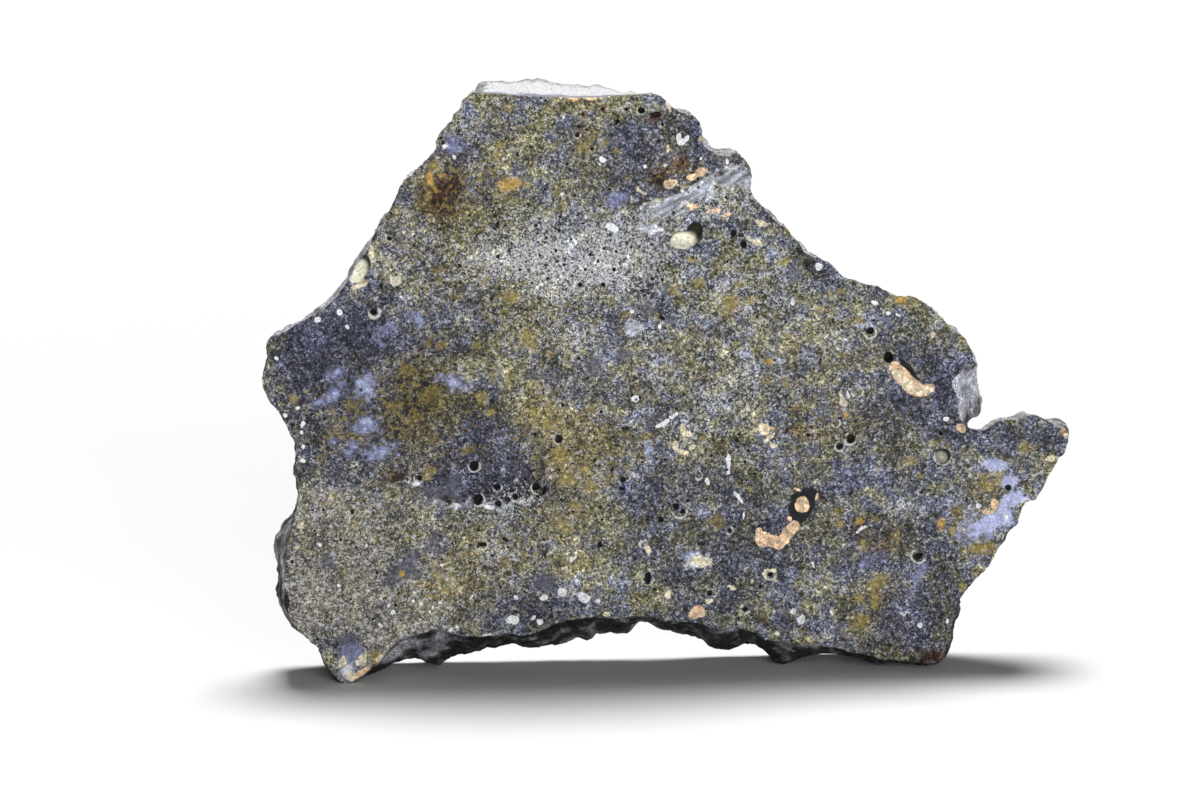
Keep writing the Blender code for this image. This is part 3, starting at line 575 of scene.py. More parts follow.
# Spots with a clear edge: x, y, half width, half height, turn in degrees
spots = {
    "violet": [
        (332, 391, 10, 5, -50), (336, 375, 9, 7, 0), (331, 398, 12, 5, -15), (322, 402, 6, 4, -20),
        (341, 384, 5, 3, 30), (364, 388, 9, 12, 0), (368, 380, 6, 5, 0), (368, 425, 13, 9, 0),
        (360, 428, 8, 5, 0), (352, 447, 7, 6, 0), (335, 441, 6, 4, 0), (379, 452, 14, 7, -10),
        (417, 320, 10, 6, 35), (385, 328, 9, 5, -20), (454, 382, 15, 6, 20), (383, 343, 4, 3, 0),
        (921, 573, 4, 9, 40), (873, 560, 12, 5, -15), (546, 584, 6, 6, 0), (615, 200, 10, 8, 0),
        (455, 145, 8, 9, 30), (352, 652, 13, 7, 0),
    ],
    "lilac": [
        (364, 388, 7, 9, 0), (648, 451, 4, 8, 0),
        (337, 374, 4, 4, 0), (331, 397, 6, 2.4, -15), (368, 424, 7, 5, 0), (353, 447, 3.4, 3, 0),
        (380, 453, 7, 3.4, -10), (454, 383, 7, 3, 20), (417, 320, 5, 3, 35),
        (690, 556, 12, 4, 0), (985, 527, 25, 11, -20),
    ],
    "lavender": [
        (997, 464.5, 11.5, 7, 0), (1011, 482, 8, 8, 20), (1015, 499, 14, 7, -16),
        (987, 526, 19, 8, -18), (1003, 516, 12, 8, -10),
    ],
    "white": [
        (681, 143.5, 4, 3, 30), (679, 138.5, 2.2, 4, -20), (686, 140, 2.2, 4, 30),
        (603, 160, 4, 2.2, 40), (612, 228, 7, 4, 30), (727, 162, 2, 3, 0), (819, 267, 4.5, 3.5, 0), (793, 303, 2, 2, 0), (874, 303, 4, 2.2, 20),
        (887, 314, 2.6, 2.4, 0), (898, 315, 2.5, 1, 45), (947, 419, 3.2, 2.4, 0), (985, 427, 1.5, 1.5, 0),
        (544, 598.5, 3.8, 3.6, 0), (561.5, 593, 4.2, 4, 0), (585, 599, 7, 4.6, 35), (597, 602, 2.4, 2.6, 0),
        (572, 560.5, 3.2, 3, 0), (516, 598, 3, 2.8, 0), (513, 621, 7, 4.5, -10), (533, 619, 2.2, 2.8, 0),
        (541, 624, 3.6, 3, 0), (802, 621, 4.2, 4.2, 0), (794, 613, 3, 3, 0), (778, 636, 3.4, 2.2, 0),
        (455, 158, 2, 2, 0),
        (471, 598, 1.2, 4, 10), (298, 407, 2.2, 2.2, 0), (285, 414, 2, 2, 0), (303, 424, 2, 2.4, 0),
        (302, 433, 1.8, 2.6, 20), (301, 461, 2.8, 2.4, 0), (302, 446, 2, 2, 0), (277, 358, 2, 2.4, -40),
        (347, 327, 2.4, 2.2, 0), (340, 313, 3, 4, 0), (318, 320, 3.5, 3.5, 0), (319, 545, 2.2, 1.8, 0),
        (365, 547, 2, 2, 0), (388, 606, 1.8, 1.8, 0), (393, 613, 2, 2, 0), (413, 602, 1.8, 1.8, 0),
        (421, 605, 2, 1.5, 0), (433, 608, 1.8, 2.2, 0), (429, 613, 2, 2, 0), (439, 604, 1.6, 1.6, 0),
        (457, 629, 2.4, 2, 0), (450, 632, 2, 1.8, 0), (485, 638, 2.2, 2, 0), (489, 636, 1.8, 1.8, 0),
        (413, 592, 1.8, 1.8, 0), (338, 587, 2, 2, 0), (380, 626, 1.8, 2, 0), (441, 565, 1.6, 1.6, 0),
        (695, 173, 1.5, 1.5, 0), (666, 165, 1.8, 1.8, 0), (701, 158, 1.5, 1.5, 0), (660, 326, 2, 2, 0),
        (662, 424, 8, 2, -25), (674, 415, 6, 2, -20), (635, 398, 3, 4, 30),
        (729, 468, 2, 10, 8), (728, 458, 2, 4, 0), (708, 482, 1.8, 4, -20), (741, 500, 1.6, 6, -20),
        (744, 515, 1.6, 5, 0), (737, 495, 1.4, 4, -30), (862, 530, 6, 1.5, -30),
        (813, 565, 1.4, 3, 0), (832, 613, 1.5, 3, -40), (949, 622, 1.5, 2.5, 0),
        (921, 627, 2, 3, 0), (980, 507, 2.4, 3, 0), (848, 395, 1.6, 5, -15),
        (682, 192, 1.6, 1.6, 0), (600, 165, 1.5, 1.5, 0), (563, 195, 1.8, 1.8, 0), (644, 168, 2, 2, 0),
        (346, 672, 5, 7, 20), (357, 664, 3, 4, 0), (632, 312, 2, 2, 0),
    ],
    "cream": [
        (899, 375, 3.4, 9, -35), (907, 385, 5.6, 9, -38), (915, 391, 8, 4.6, 10), (924, 391, 7, 4, -10),
        (930, 388.5, 3.4, 3, 0), (757, 244, 6, 3.6, 0), (748, 240, 2.4, 2, 0),
        (684, 430, 4, 7, -15), (688, 434, 3, 3, 0), (683, 452, 6.5, 3, 5), (692, 447, 4, 2.5, -30),
        (676, 446, 2.5, 5, 0), (763, 429, 6.5, 6.5, 20), (769, 437, 3, 2.5, 0), (932, 334, 3, 2.4, 0),
        (734, 589, 4, 2.8, 0), (730, 587, 4, 1.6, 0), (669, 595, 2.8, 6, 15), (700, 562, 12, 5, 10),
        (606, 615, 3.2, 3, 0), (842, 399, 2.4, 7, -15), (843, 404, 4, 4, 0), (648, 550, 3, 7, 0),
        (641, 545, 1.6, 4, 0), (1050, 459, 5, 4, -30), (1067, 437, 3, 4, 0), (379, 660, 5, 3, -30),
        (340, 664, 4, 7, 20), (362, 661, 5, 6, 0), (350, 678, 6, 5, -20), (642, 193, 5, 1.5, 10),
        (637, 191, 1.3, 3, 0), (760, 224, 6, 4, 20), (395, 281, 6, 4.5, 20), (753, 582, 2, 2.5, 0),
        (771, 571, 6, 2, 0), (766, 576, 2, 5, 0), (776, 580, 4, 2, 20), (710, 602, 3, 3, 0),
        (996, 560, 5, 3, -30),
        (667, 150, 1.5, 5, 10), (668, 108, 2.5, 5, -20), (372, 254, 3, 14, 0), (360, 285, 10, 3, -20),
        (827, 653, 14, 2.2, 0), (772, 436, 5, 2, -35), (766, 441, 3, 2, 0), (773, 446, 4, 3, 0),
    ],
    "salmon": [
        (759, 533, 3.4, 5, -10), (763, 539.5, 8, 6.8, 10), (771, 541.5, 8, 5.6, 5), (778, 545, 6, 4.8, 20),
        (784, 539.5, 4.6, 6.5, 40), (790, 531.5, 5.2, 7, 42), (796, 525.5, 5.4, 5.4, 30),
        (802.5, 504.5, 7.6, 7.2, 30), (817, 497, 1.4, 4.6, 10), (797, 489.5, 5, 1.4, 20),
        (789, 518, 2.4, 2.6, 0), (700.5, 172.5, 6.8, 4.6, -25),
        (691, 178, 5.2, 4, -10), (670, 184.5, 6.5, 3.4, -15), (712, 211.5, 6, 2.2, -12),
        (688, 206, 3, 2.4, -20), (694, 208, 4, 2.4, -10), (690, 211, 2, 1.6, 0), (706, 208, 2, 1.4, 30),
        (718, 209, 2.6, 1.6, 20), (726, 216, 4.6, 2.6, -20),
        (961, 428, 5, 4.8, 0), (964, 431, 3, 2.5, 0), (575, 98.5, 8, 3, 0), (590, 100, 6, 2, 0),
        (699, 140.5, 2.2, 3, 0), (699, 612, 8, 6.5, -20), (694, 617, 5, 4, 0), (995, 505, 4, 5, 0),
        (988, 513, 6, 3, 0), (717, 151, 3, 4, 40), (772, 429, 3, 2, 0), (358, 675, 13, 3.2, -35),
        (896, 369, 5, 8, -35), (903, 377, 7.2, 12, -36), (912, 387, 8.6, 9, -40),
        (922, 391, 10, 6.2, -8), (930, 388, 4.8, 4.6, 0),
    ],
    "mist": [
        (345, 668, 8, 10, 0), (632, 328, 6, 7, 0),
        (688, 197, 36, 7, -33), (728, 179, 19, 8, -20), (743, 181, 7, 9, 0), (664, 206, 18, 5, -25),
        (652, 230, 15, 4, 6), (463, 506, 9, 3, -10), (497, 505, 9, 3, 10), (440, 504, 7, 3, 20),
    ],
    "milk": [
        (655, 204, 14, 3.4, -16), (711, 191, 3.6, 9, 15), (690, 191, 20, 1.7, -33),
        (684, 204, 20, 1.5, -32), (652, 229.5, 15, 3, 6), (728, 169, 14, 2.2, -15), (446, 145, 3, 4.5, 20),
        (1004, 516, 8, 3, -10),
        (400, 186, 2, 8, 30), (698, 562, 15, 6, -8), (525, 503, 5, 3, 20),
        (414, 483, 6, 2.6, 0),
        (468, 499, 2.4, 4, 30), (488, 507, 6, 2.2, 0), (503, 470, 3, 2.6, 0), (517, 480, 2, 4, 20),
        (455, 506, 5, 2, -10), (532, 498, 2.6, 3, 30),
    ],
    "clast": [
        (403, 574, 15, 8, 4), (411, 561, 11, 6, -45), (389, 581, 7, 6, 0), (417, 576, 5, 6, 0),
        (435, 540, 6.5, 9, 20), (428, 549, 6, 4, -40), (326, 563.5, 8, 4.5, 0), (545, 583, 12, 10, 0),
        (384, 613, 4, 4, 0), (346, 640, 13, 7, 0), (650, 312, 8, 6, 0), (671, 320, 7, 5, 20),
        (624, 356, 10, 7, 0), (593, 367, 9, 9, 0), (743, 322, 5, 4, 0), (795, 275, 8, 9, 0),
        (434, 492, 15, 6, 5), (452, 487, 7, 11, 0), (833, 569, 5, 5, 0), (790, 519, 6, 8, -20),
    ],
    "amber": [
        (506, 186, 7, 7, 10), (516, 184, 6, 4, 0), (441, 177, 4, 3, 0), (436, 191, 3, 3, 0),
        (575, 98, 10, 3, 0), (430, 180, 3, 6, 0),
        (618, 507, 2, 2, 0), (943, 524, 5, 6, 0), (377, 661, 5, 4, -40),
        (364, 672, 8, 2.4, -40), (1064, 432, 2.5, 4, 0), (846, 414, 2.6, 3.6, 0), (769, 361, 3, 3, 0),
        (861, 522, 3, 3, 0), (767, 429, 2, 2, 0), (900, 300, 5, 3, -20),
        (400, 574, 3, 3, 0),
    ],
    "bronze": [
        (431.5, 392, 8, 7, 0), (408, 370, 8, 7, 0), (441, 346, 6, 5, 0), (428, 343, 4, 4, 0),
        (478, 345, 5, 4, 0), (469, 449, 7, 5, 0), (416, 418, 6, 4, 0), (395, 405, 8, 5, 0),
        (435, 440, 5, 4, 0), (351, 406, 6, 6, 0), (362, 401, 4, 4, 0), (625, 315, 5.5, 5, 0),
        (504, 562, 7, 6, 30), (719, 521, 4, 8, 0), (716, 521, 8, 5, 0), (838, 511, 5, 4, 0),
        (433, 167, 6, 4, 0), (703, 438, 5, 4, 0), (956.5, 512, 7, 6, -20), (820, 420, 4, 4, 0),
        (846, 416, 3, 3, 0),
    ],
    "yellow": [
        (662, 199, 10, 1.8, -25), (681, 188.5, 9, 1.8, -32), (429, 197, 4, 5, 0),
        (877, 519, 4, 3, 0), (910, 461, 8, 6, 0), (1025, 448, 7, 6, 0), (864, 545, 6, 6, 0),
        (860, 600, 5, 5, 0), (645, 437, 6, 4, -20), (528, 185, 3.5, 3.5, 0), (497, 157, 2.4, 5, 0),
        (500, 146, 4, 3, 30), (509, 110, 4.5, 4, 0), (481, 178, 2.4, 6, 15), (482, 120, 4, 4, 0),
        (432, 181, 4, 6, 0), (438, 168, 5, 3, 0), (455, 171, 5, 2.6, 20), (581, 148, 5, 5, 0),
        (605, 144, 3, 4, 20), (617, 152, 4, 4, 0), (557, 193, 3, 6, 20), (482, 398, 5.5, 7, 10), (510.5, 378, 4.6, 8, -15), (526.6, 337.5, 6.5, 7, 0),
        (549, 353.6, 4.5, 4, 0), (533, 346, 4, 4, 0), (512, 297, 7, 7, 20), (487, 280, 3, 3, 0),
        (491, 413, 5, 4, 0), (533, 412, 4, 6, -20), (731, 304, 8, 9, 0), (749, 301, 4, 4, 0), (740, 285, 4, 4, 0),
        (674, 290, 6, 6, 0), (699, 284, 6, 7, 20), (768.5, 361, 4.5, 4.5, 0), (784, 379, 3.2, 4, 0),
        (787, 386, 4, 2.4, 0), (798, 408, 4, 3.5, 0), (829, 293, 2.6, 3, 0),
        (842, 293, 4.6, 2.8, 0), (860, 321, 5, 3.5, 0), (820, 309, 4, 3, 0), (806, 322, 2.6, 4, 0),
        (898, 300, 5, 4, -20), (963, 340, 2.6, 3, 0), (334.5, 496, 3.4, 3, 0), (355, 525, 3, 2.6, 0),
        (399, 532, 2, 1.6, 0), (421.5, 502, 2, 2, 0), (405, 539, 3, 2.4, 0), (400.5, 573, 3.4, 3.6, 0),
        (424, 477, 7, 3, 10), (430, 471, 6, 4, 0), (524, 556, 3.5, 3.4, 0),
        (430, 595, 2.6, 2.4, 0), (436, 576, 5, 2.6, 20), (344, 572, 3, 2.4, 0), (488, 603, 1.2, 4, 0),
        (560, 455, 8, 8, 0), (567, 480, 9, 6, 0), (575, 507, 7, 6, 0), (590, 487, 6, 7, 0),
        (550, 425, 8, 5, 0), (565, 528, 8, 5, 0), (585, 470, 4, 5, 0),
        (750, 488, 3, 3, 0), (879, 583, 8, 8, 0), (876, 600, 5, 9, 0),
        (861, 622, 11, 8, 0), (898, 535, 3, 8, 0), (861, 521, 4, 4, 0), (840, 525, 4, 4, 0),
        (978, 549, 10, 4.5, 0), (990, 547, 8, 4, 0), (988, 486, 8, 6, 0), (1000, 478, 3, 6, 0),
        (953, 532, 3, 6, 0), (1021, 471, 2, 3, 0), (933, 442, 3, 2.6, 0), (948, 446, 2, 5, 10),
        (964, 588, 4, 4, 0), (921, 476, 3, 3, 0), (1037, 503, 5, 2, -30),
        (446, 592, 4, 3, 0), (305, 392, 3, 2, 0), (293, 398, 4, 5, 0), (283, 404, 3, 2, 0),
        (692, 260, 6, 3, 0), (760, 268, 2, 2, 0), (783, 262, 6, 4, 0), (373, 655, 8, 3, -35),
    ],
    # dark spots; some are painted shade: the insides of small holes, and the shaded upper edge of the long hollow at
    # 906, 365
    "black": [
        (802.5, 503.5, 12.5, 12.5, 0), (808, 495, 11, 8, 5), (799, 514, 10, 11, 15), (797, 522, 3.4, 5, 30),
        (906, 365, 2.6, 12, -48), (889, 358, 4.4, 4.4, 0), (474, 474, 4.6, 2, 0), (487, 492, 3.6, 2.4, 0),
        (697, 203, 18, 0.9, -30), (674, 212, 13, 0.8, -28),
        (508, 500, 4, 3, 0), (541, 494, 4.4, 2, 0), (466, 440, 3, 2.4, 0), (625, 428, 5, 2.4, 0),
        (426, 384, 4, 3, 0), (656, 590, 2, 2, 0), (840, 418, 2.4, 3, 0), (702, 545, 4, 2, 0),
        (740, 236, 3, 2.4, 0), (493, 402, 3, 2.4, 0), (285, 604, 3, 12, 0), (420, 648, 3, 3, 0),
    ],
}

# Pale patches of painted light on the broken wall, where it catches the light, in the same picture places
zones["wallPale"] = [
    (278, 568, 8, 26, 0, 1.0), (955, 398, 13, 38, 0, 1.3), (386, 660, 15, 9, -30, 0.7),
    (424, 664, 16, 8, 0, 0.6), (710, 150, 14, 6, 20, 0.9), (420, 160, 40, 14, -55, 0.5),
    (400, 655, 12, 7, -30, 0.45), (435, 650, 16, 9, 0, 0.3), (340, 290, 40, 10, -45, 0.5),
    (545, 88, 30, 8, 0, 0.6), (640, 95, 30, 5, 0, 0.5), (815, 652, 16, 5, 0, 0.3),
    (1055, 424, 20, 8, 20, 0.4),
]

# Thin pale rings around hollows, partly their own pale rim and partly a painted highlight on the lit side: x, y,
# radius, thickness
rings = [
    (851, 439, 6.2, 1.5), (840, 446.5, 5.0, 1.4), (474, 466, 6.0, 1.2), (478, 500, 6.4, 1.3), (497, 487, 4.8, 1.1), (537, 488, 6.0, 1.2),
    (515, 497, 4.8, 1.1), (559, 439, 5.6, 1.2), (419, 478, 4.6, 1.0), (482, 545, 5.4, 1.0),
    (870, 333, 5.6, 1.6),
    (857, 391, 6.0, 1.3), (746, 610, 4.6, 2.0), (919.5, 556.8, 7.0, 1.6), (943, 457, 8.2, 1.5),
    (680, 511, 7.5, 1.2), (730, 531, 3.8, 1.2), (699, 476, 3.6, 1.2),
    (896, 338, 3.2, 1.3), (939, 324, 4.4, 1.3), (771, 575, 5.6, 1.5), (836, 423, 4.2, 1.4),
    (577, 136, 3.6, 1.2), (641, 112, 4.6, 0.9), (648, 580, 6.0, 1.0), (796, 557, 4.0, 0.9),
    (390, 238, 4.0, 1.0), (374.6, 312.6, 5.5, 2.2), (395.6, 280, 5.0, 2.0),
]

spread = {
    "zoneWander": (9.0, 34.0, 4.0, 9.0),     # how far and over what length zones wander, twice
    "spotWander": (1.6, 7.0),
    "flow": 4.5,                             # how tightly touching spots flow together
    "slant": (26.0, -18.0),                  # what shows on the back lies this many pixels off
    "backWander": (16.0, 60.0),
}


def ellipseDistance(px, py, row):
    # distance from a row's middle in units of its half sizes, so its edge is at 1
    turn = radians(row[4])
    dx, dy = px - row[0], py - row[1]
    along = (dx * cos(turn) + dy * sin(turn)) / row[2]
    across = (dy * cos(turn) - dx * sin(turn)) / row[3]
    return np.hypot(along, across)


def zoneValue(px, py, rows):
    # overlapping soft patches: 1 - product of (1 - strength * exp(-1.1 * distance^2))
    rest = np.ones(len(px))
    for row in rows:
        rest *= 1.0 - np.clip(row[5] * np.exp(-1.1 * ellipseDistance(px, py, row) ** 2), 0.0, 1.0)
    return 1.0 - rest


def spotValue(px, py, rows):
    # 1 in the middle of a spot, 0 at its edge, falling to -1 outside; spots that touch flow
    # together: log(sum of exp(k * (1 - distance))) / k
    total = np.zeros(len(px))
    for row in rows:
        total += np.exp(spread["flow"] * (1.0 - ellipseDistance(px, py, row)))
    return np.maximum(np.log(total + 1e-9) / spread["flow"], -1.0)


def ringValue(px, py, rows):
    # 1 on the ring's line, 0 at its edges, and fading out towards the upper right, so that it stays as a painted
    # highlight on the lower-left, lit side
    value = np.full(len(px), -1.0)
    for index, (x, y, radius, width) in enumerate(rows):
        away = np.hypot(px - x, py - y)
        side = (cos(index) * (px - x) - (py - y)) / (away + 0.01)
        value = np.maximum(value, 1.0 - abs(away - radius) / width - 0.7 * np.clip(side, 0.0, 1.0))
    return value


# Grains too small to reach through the slab: the back has its own
backSpots = {
    "counts": {
        "salmon": 9, "cream": 22, "white": 46, "milk": 8, "amber": 6, "black": 10, "clast": 12,
        "violet": 7, "lilac": 5, "lavender": 4, "yellow": 40,
    },
    "size": (1.6, 6.5),
    "stretch": (0.55, 1.8),
}


def drawBackSpots(kind):
    # that many ellipses anywhere on the slab, most of them small
    chance = np.random.default_rng(len(kind) + 10 * backSpots["counts"][kind])
    count = backSpots["counts"][kind]
    low, high = backSpots["size"]
    size = low + (high - low) * chance.random(count) ** 2
    stretch = chance.uniform(*backSpots["stretch"], count)
    x, y = chance.uniform(262, 1073, count), chance.uniform(98, 686, count)
    return np.column_stack([x, y, size * stretch, size, chance.uniform(0, 180, count)])


# Step 4: the surface, two sawn sheets joined by the broken wall

sheet = {
    "spacing": 0.00056,          # metres between the points of the cut face
    "fineSpacing": 0.00021,      # where a spot needs a clear edge
    "backSpacing": 0.00088,
    "jitter": 0.12,              # share of the spacing by which points are moved off the grid
    "fineKinds": ("salmon", "white", "cream", "yellow", "black"),
    "fineLimit": 8.0,            # spots up to this half size, in pixels, get fine points
    "edgeWear": 0.00010,
    "edgeWearGrain": 0.0012,
}
wall = {
    "rows": 34,
    "farthestBelow": 0.62,       # share of the thickness at which an overhang stands out farthest
    "farthestAbove": 1.0,
    "facingUpSlope": 0.9,
    "backTuck": 0.0011,
    "tuckedUnder": 0.99,
    "edgeFade": 0.0011,          # the roughness starts this far from the cut face
    "backShare": 0.45,           # how much of it the back edge keeps
    "smoothing": (0.0007, 0.85), # the rim's small corners fade towards the back: over this length, this far
    "lumps": ((0.0040, 0.00062), (0.0018, 0.00030), (0.0008, 0.00014), (0.0004, 0.00006)),
    "pitCount": 170,
    "pitRadius": (0.00025, 0.0010),
}


def gridPoints(loopX, loopZ, spacing, seed):
    # rows of points, every other row half a step along, each moved a little off its place
    across = np.arange(loopX.min(), loopX.max(), spacing)
    up = np.arange(loopZ.min(), loopZ.max(), spacing * cos(pi / 6.0))
    gridX, gridZ = np.meshgrid(across, up)
    gridX = gridX + 0.5 * spacing * (np.arange(len(up)) % 2)[:, None]
    chance = np.random.default_rng(seed)
    move = chance.uniform(-1.0, 1.0, (2, gridX.size)) * sheet["jitter"] * spacing
    return gridX.ravel() + move[0], gridZ.ravel() + move[1]


def farFromBubbles(x, z, bubbles):
    clear = np.ones(len(x), bool)
    for index, bubble in enumerate(bubbles):
        reach = 2.0 * max(bubble[2], bubble[3])
        near = np.flatnonzero((abs(x - bubble[0]) < reach) & (abs(z - bubble[1]) < reach))
        clear[near] &= shareOfBubble(x[near], z[near], bubble, index) > bubbleShape["clearShare"]
    return clear


def nearSpots(x, z, margin):
    # true near the small clear-edged spots, where the face gets finer points
    px, py = inPicture(x, z)
    near = np.zeros(len(x), bool)
    for kind in sheet["fineKinds"]:
        for row in spots[kind]:
            if max(row[2], row[3]) <= sheet["fineLimit"]:
                grown = (row[0], row[1], row[2] + margin, row[3] + margin, row[4])
                near |= ellipseDistance(px, py, grown) < 1.0
    for x0, y0, radius, width in rings:
        near |= abs(np.hypot(px - x0, py - y0) - radius) < width + margin
    return near


def sheetPoints(loopX, loopZ, bubbles, spacing, fine, seed):
    # the loop itself first, then bubble rings, fine points near spots, and the open grid
    x, z = gridPoints(loopX, loopZ, spacing, seed)
    keep = farFromBubbles(x, z, bubbles)
    x, z = x[keep], z[keep]
    groups = [bubblePoints(bubbles)]
    if fine:
        fineX, fineZ = gridPoints(loopX, loopZ, sheet["fineSpacing"], seed + 1)
        keep = nearSpots(fineX, fineZ, 1.0)
        fineX, fineZ = fineX[keep], fineZ[keep]
        keep = farFromBubbles(fineX, fineZ, bubbles)
        groups.append(np.column_stack([fineX[keep], fineZ[keep]]))
        open_ = ~nearSpots(x, z, 1.8)
        x, z = x[open_], z[open_]
    groups.append(np.column_stack([x, z]))
    points = np.vstack(groups)
    inside, nearest = insideLoop(points[:, 0], points[:, 1], loopX, loopZ)
    points = points[inside & (nearest > 0.45 * rim["step"] * pixel)]
    cells = np.round(points / (0.28 * sheet["fineSpacing"])).astype(np.int64)
    _, first = np.unique(cells, axis=0, return_index=True)
    points = points[np.sort(first)]
    return np.vstack([np.column_stack([loopX, loopZ]), points])


def joinPoints(points, loopCount):
    # triangles between the points, inside the loop only, found in millimetres
    corners = [Vector(p) for p in (points * 1000.0).tolist()]
    made = delaunay_2d_cdt(corners, [], [list(range(loopCount))], 1, 1e-6, True)
    if len(made[0]) != len(corners):
        print("warning: the sheet gained", len(made[0]) - len(corners), "points")
    faces = np.array(made[2])
    atRim = np.flatnonzero((faces < loopCount).all(axis=1))
    middle = points[faces[atRim]].mean(axis=1)
    inside, _ = insideLoop(middle[:, 0], middle[:, 1], *points[:loopCount].T)
    faces = np.delete(faces, atRim[~inside], axis=0)
    a, b, c = (points[faces[:, k]] for k in range(3))
    area = (b - a)[:, 0] * (c - a)[:, 1] - (b - a)[:, 1] * (c - a)[:, 0]
    faces[area < 0.0] = faces[area < 0.0][:, ::-1]
    return faces


def wallSurface(front, back):
    # u runs along the rim and v through the thickness: the rim moves along its lean direction by
    # lean * sin(quarter turn * v / farthest) - tuck + lumps, and y runs from front to back
    upward = edge["lean"][:, 1]
    facingUp = np.clip(0.5 + wall["facingUpSlope"] * upward, 0.0, 1.0)
    farthest = wall["farthestBelow"] + (wall["farthestAbove"] - wall["farthestBelow"]) * facingUp
    lean = edge["reach"] - farthest * thickness * sin(picture["lookDown"]) * upward
    t = np.linspace(0.0, 1.0, wall["rows"])
    v = (0.5 * t + 0.25 * (1.0 - np.cos(pi * t)))[None, :]
    farthest, lean, sawn = farthest[:, None], lean[:, None], edge["sawn"][:, None]
    rise = np.sin(0.5 * pi * np.clip(v / farthest, 0.0, 1.0))
    rise = rise * (1.0 - sawn) + v * sawn
    tuck = wall["backTuck"] * np.clip((v - farthest) / (1.0 - farthest + 1e-6), 0.0, 1.0)
    out = lean * rise - np.where(farthest < wall["tuckedUnder"], tuck, 0.0)
    y = front[:, None] + v * (back - front)[:, None]
    outX, outZ = edge["lean"][:, :1], edge["lean"][:, 1:]
    length, most = wall["smoothing"]
    fading = most * smoothStep(1.2 * v) * (1.0 - sawn)
    rimX, rimZ = (
        edge[axis][:, None] * (1.0 - fading)
        + blurLoop(edge[axis], length, rim["step"] * pixel)[:, None] * fading
        for axis in ("x", "z")
    )
    baseX, baseZ = rimX + out * outX, rimZ + out * outZ
    places = np.stack([baseX, y, baseZ], axis=-1).reshape(-1, 3)
    lumps = np.zeros(len(places))
    for index, (grain, amount) in enumerate(wall["lumps"]):
        noise = fractalNoise(places, grain, 2, seed=20 + 3 * index)
        ridged = noise if index == 0 else 0.6 - 1.6 * abs(noise)
        lumps += amount * ridged
    lumps -= wallPits(places)
    fade = smoothStep(v * thickness / wall["edgeFade"])
    fade = fade * (wall["backShare"] + (1.0 - wall["backShare"]) * smoothStep((1.0 - v) * thickness / wall["edgeFade"]))
    lumps = lumps.reshape(out.shape) * fade * (1.0 - 0.93 * sawn)
    return np.stack([baseX + lumps * outX, y, baseZ + lumps * outZ], axis=-1)


def wallPits(places):
    # broken bubbles in the wall: within a radius, a bowl of sqrt(radius^2 - distance^2)
    chance = np.random.default_rng(5)
    depth = np.zeros(len(places))
    small, large = wall["pitRadius"]
    for middle in chance.integers(0, len(places), wall["pitCount"]):
        radius = small + (large - small) * chance.random() ** 3
        gap = np.sum((places - places[middle]) ** 2, axis=1)
        depth = np.maximum(depth, np.sqrt(np.clip(radius * radius - gap, 0.0, None)))
    return depth


def wornEdge(x, z, seed):
    # tiny chips along the saw cut's edge
    places = np.column_stack([x, np.zeros(len(x)), z])
    return sheet["edgeWear"] * (0.5 + 0.5 * fractalNoise(places, sheet["edgeWearGrain"], 2, seed))


def makeStoneSurface():
    # front sheet, wall and back sheet share the points of their two loops
    count = len(edge["x"])
    frontPoints = sheetPoints(edge["x"], edge["z"], frontBubbles, sheet["spacing"], True, 1)
    relief, frontShare = bowlDepth(frontPoints[:, 0], frontPoints[:, 1], frontBubbles)
    relief[:count] += wornEdge(edge["x"], edge["z"], 3)
    frontHeights = frontY + relief
    backHeights = np.full(count, backY) - wornEdge(edge["x"], edge["z"], 9)
    grid = wallSurface(frontHeights[:count], backHeights)
    backLoopX, backLoopZ = grid[:, -1, 0], grid[:, -1, 2]
    backPoints = sheetPoints(backLoopX, backLoopZ, rearBubbles, sheet["backSpacing"], False, 4)
    backRelief, backShare = bowlDepth(backPoints[:, 0], backPoints[:, 1], rearBubbles)
    backSheetY = backY - backRelief
    backSheetY[:count] = backHeights
    frontFaces = joinPoints(frontPoints, count)
    backFaces = joinPoints(backPoints, count)[:, ::-1]
    middle = grid[:, 1:-1]
    points = np.vstack([
        np.column_stack([frontPoints[:, 0], frontHeights, frontPoints[:, 1]]),
        middle.reshape(-1, 3),
        np.column_stack([backPoints[:, 0], backSheetY, backPoints[:, 1]]),
    ])
    rows = wall["rows"]
    backStart = len(frontPoints) + count * (rows - 2)
    index = np.empty((count, rows), np.int64)
    index[:, 0] = np.arange(count)
    index[:, 1:-1] = len(frontPoints) + np.arange(count * (rows - 2)).reshape(count, rows - 2)
    index[:, -1] = backStart + np.arange(count)
    near, far = index, np.roll(index, -1, axis=0)
    quads = np.stack([near[:, :-1], far[:, :-1], far[:, 1:], near[:, 1:]], axis=-1).reshape(-1, 4)
    points[:, 2] = np.maximum(points[:, 2], 0.0)
    triangles = np.vstack([frontFaces, backFaces + backStart])
    onWall = np.ones(len(points))
    onWall[:len(frontPoints)] = 0.0
    onWall[backStart:] = 0.0
    share = np.full(len(points), 9.0)
    share[:len(frontPoints)] = frontShare
    share[backStart:] = backShare
    sawnStrip = np.zeros(len(points))
    sawnStrip[index.ravel()] = np.repeat(edge["sawn"], rows)
    outward = np.zeros(len(points))
    outward[index.ravel()] = np.repeat(edge["lean"][:, 1], rows)
    made = {"onWall": onWall, "share": share, "sawnStrip": sawnStrip, "upward": outward}
    return points, triangles, quads, made


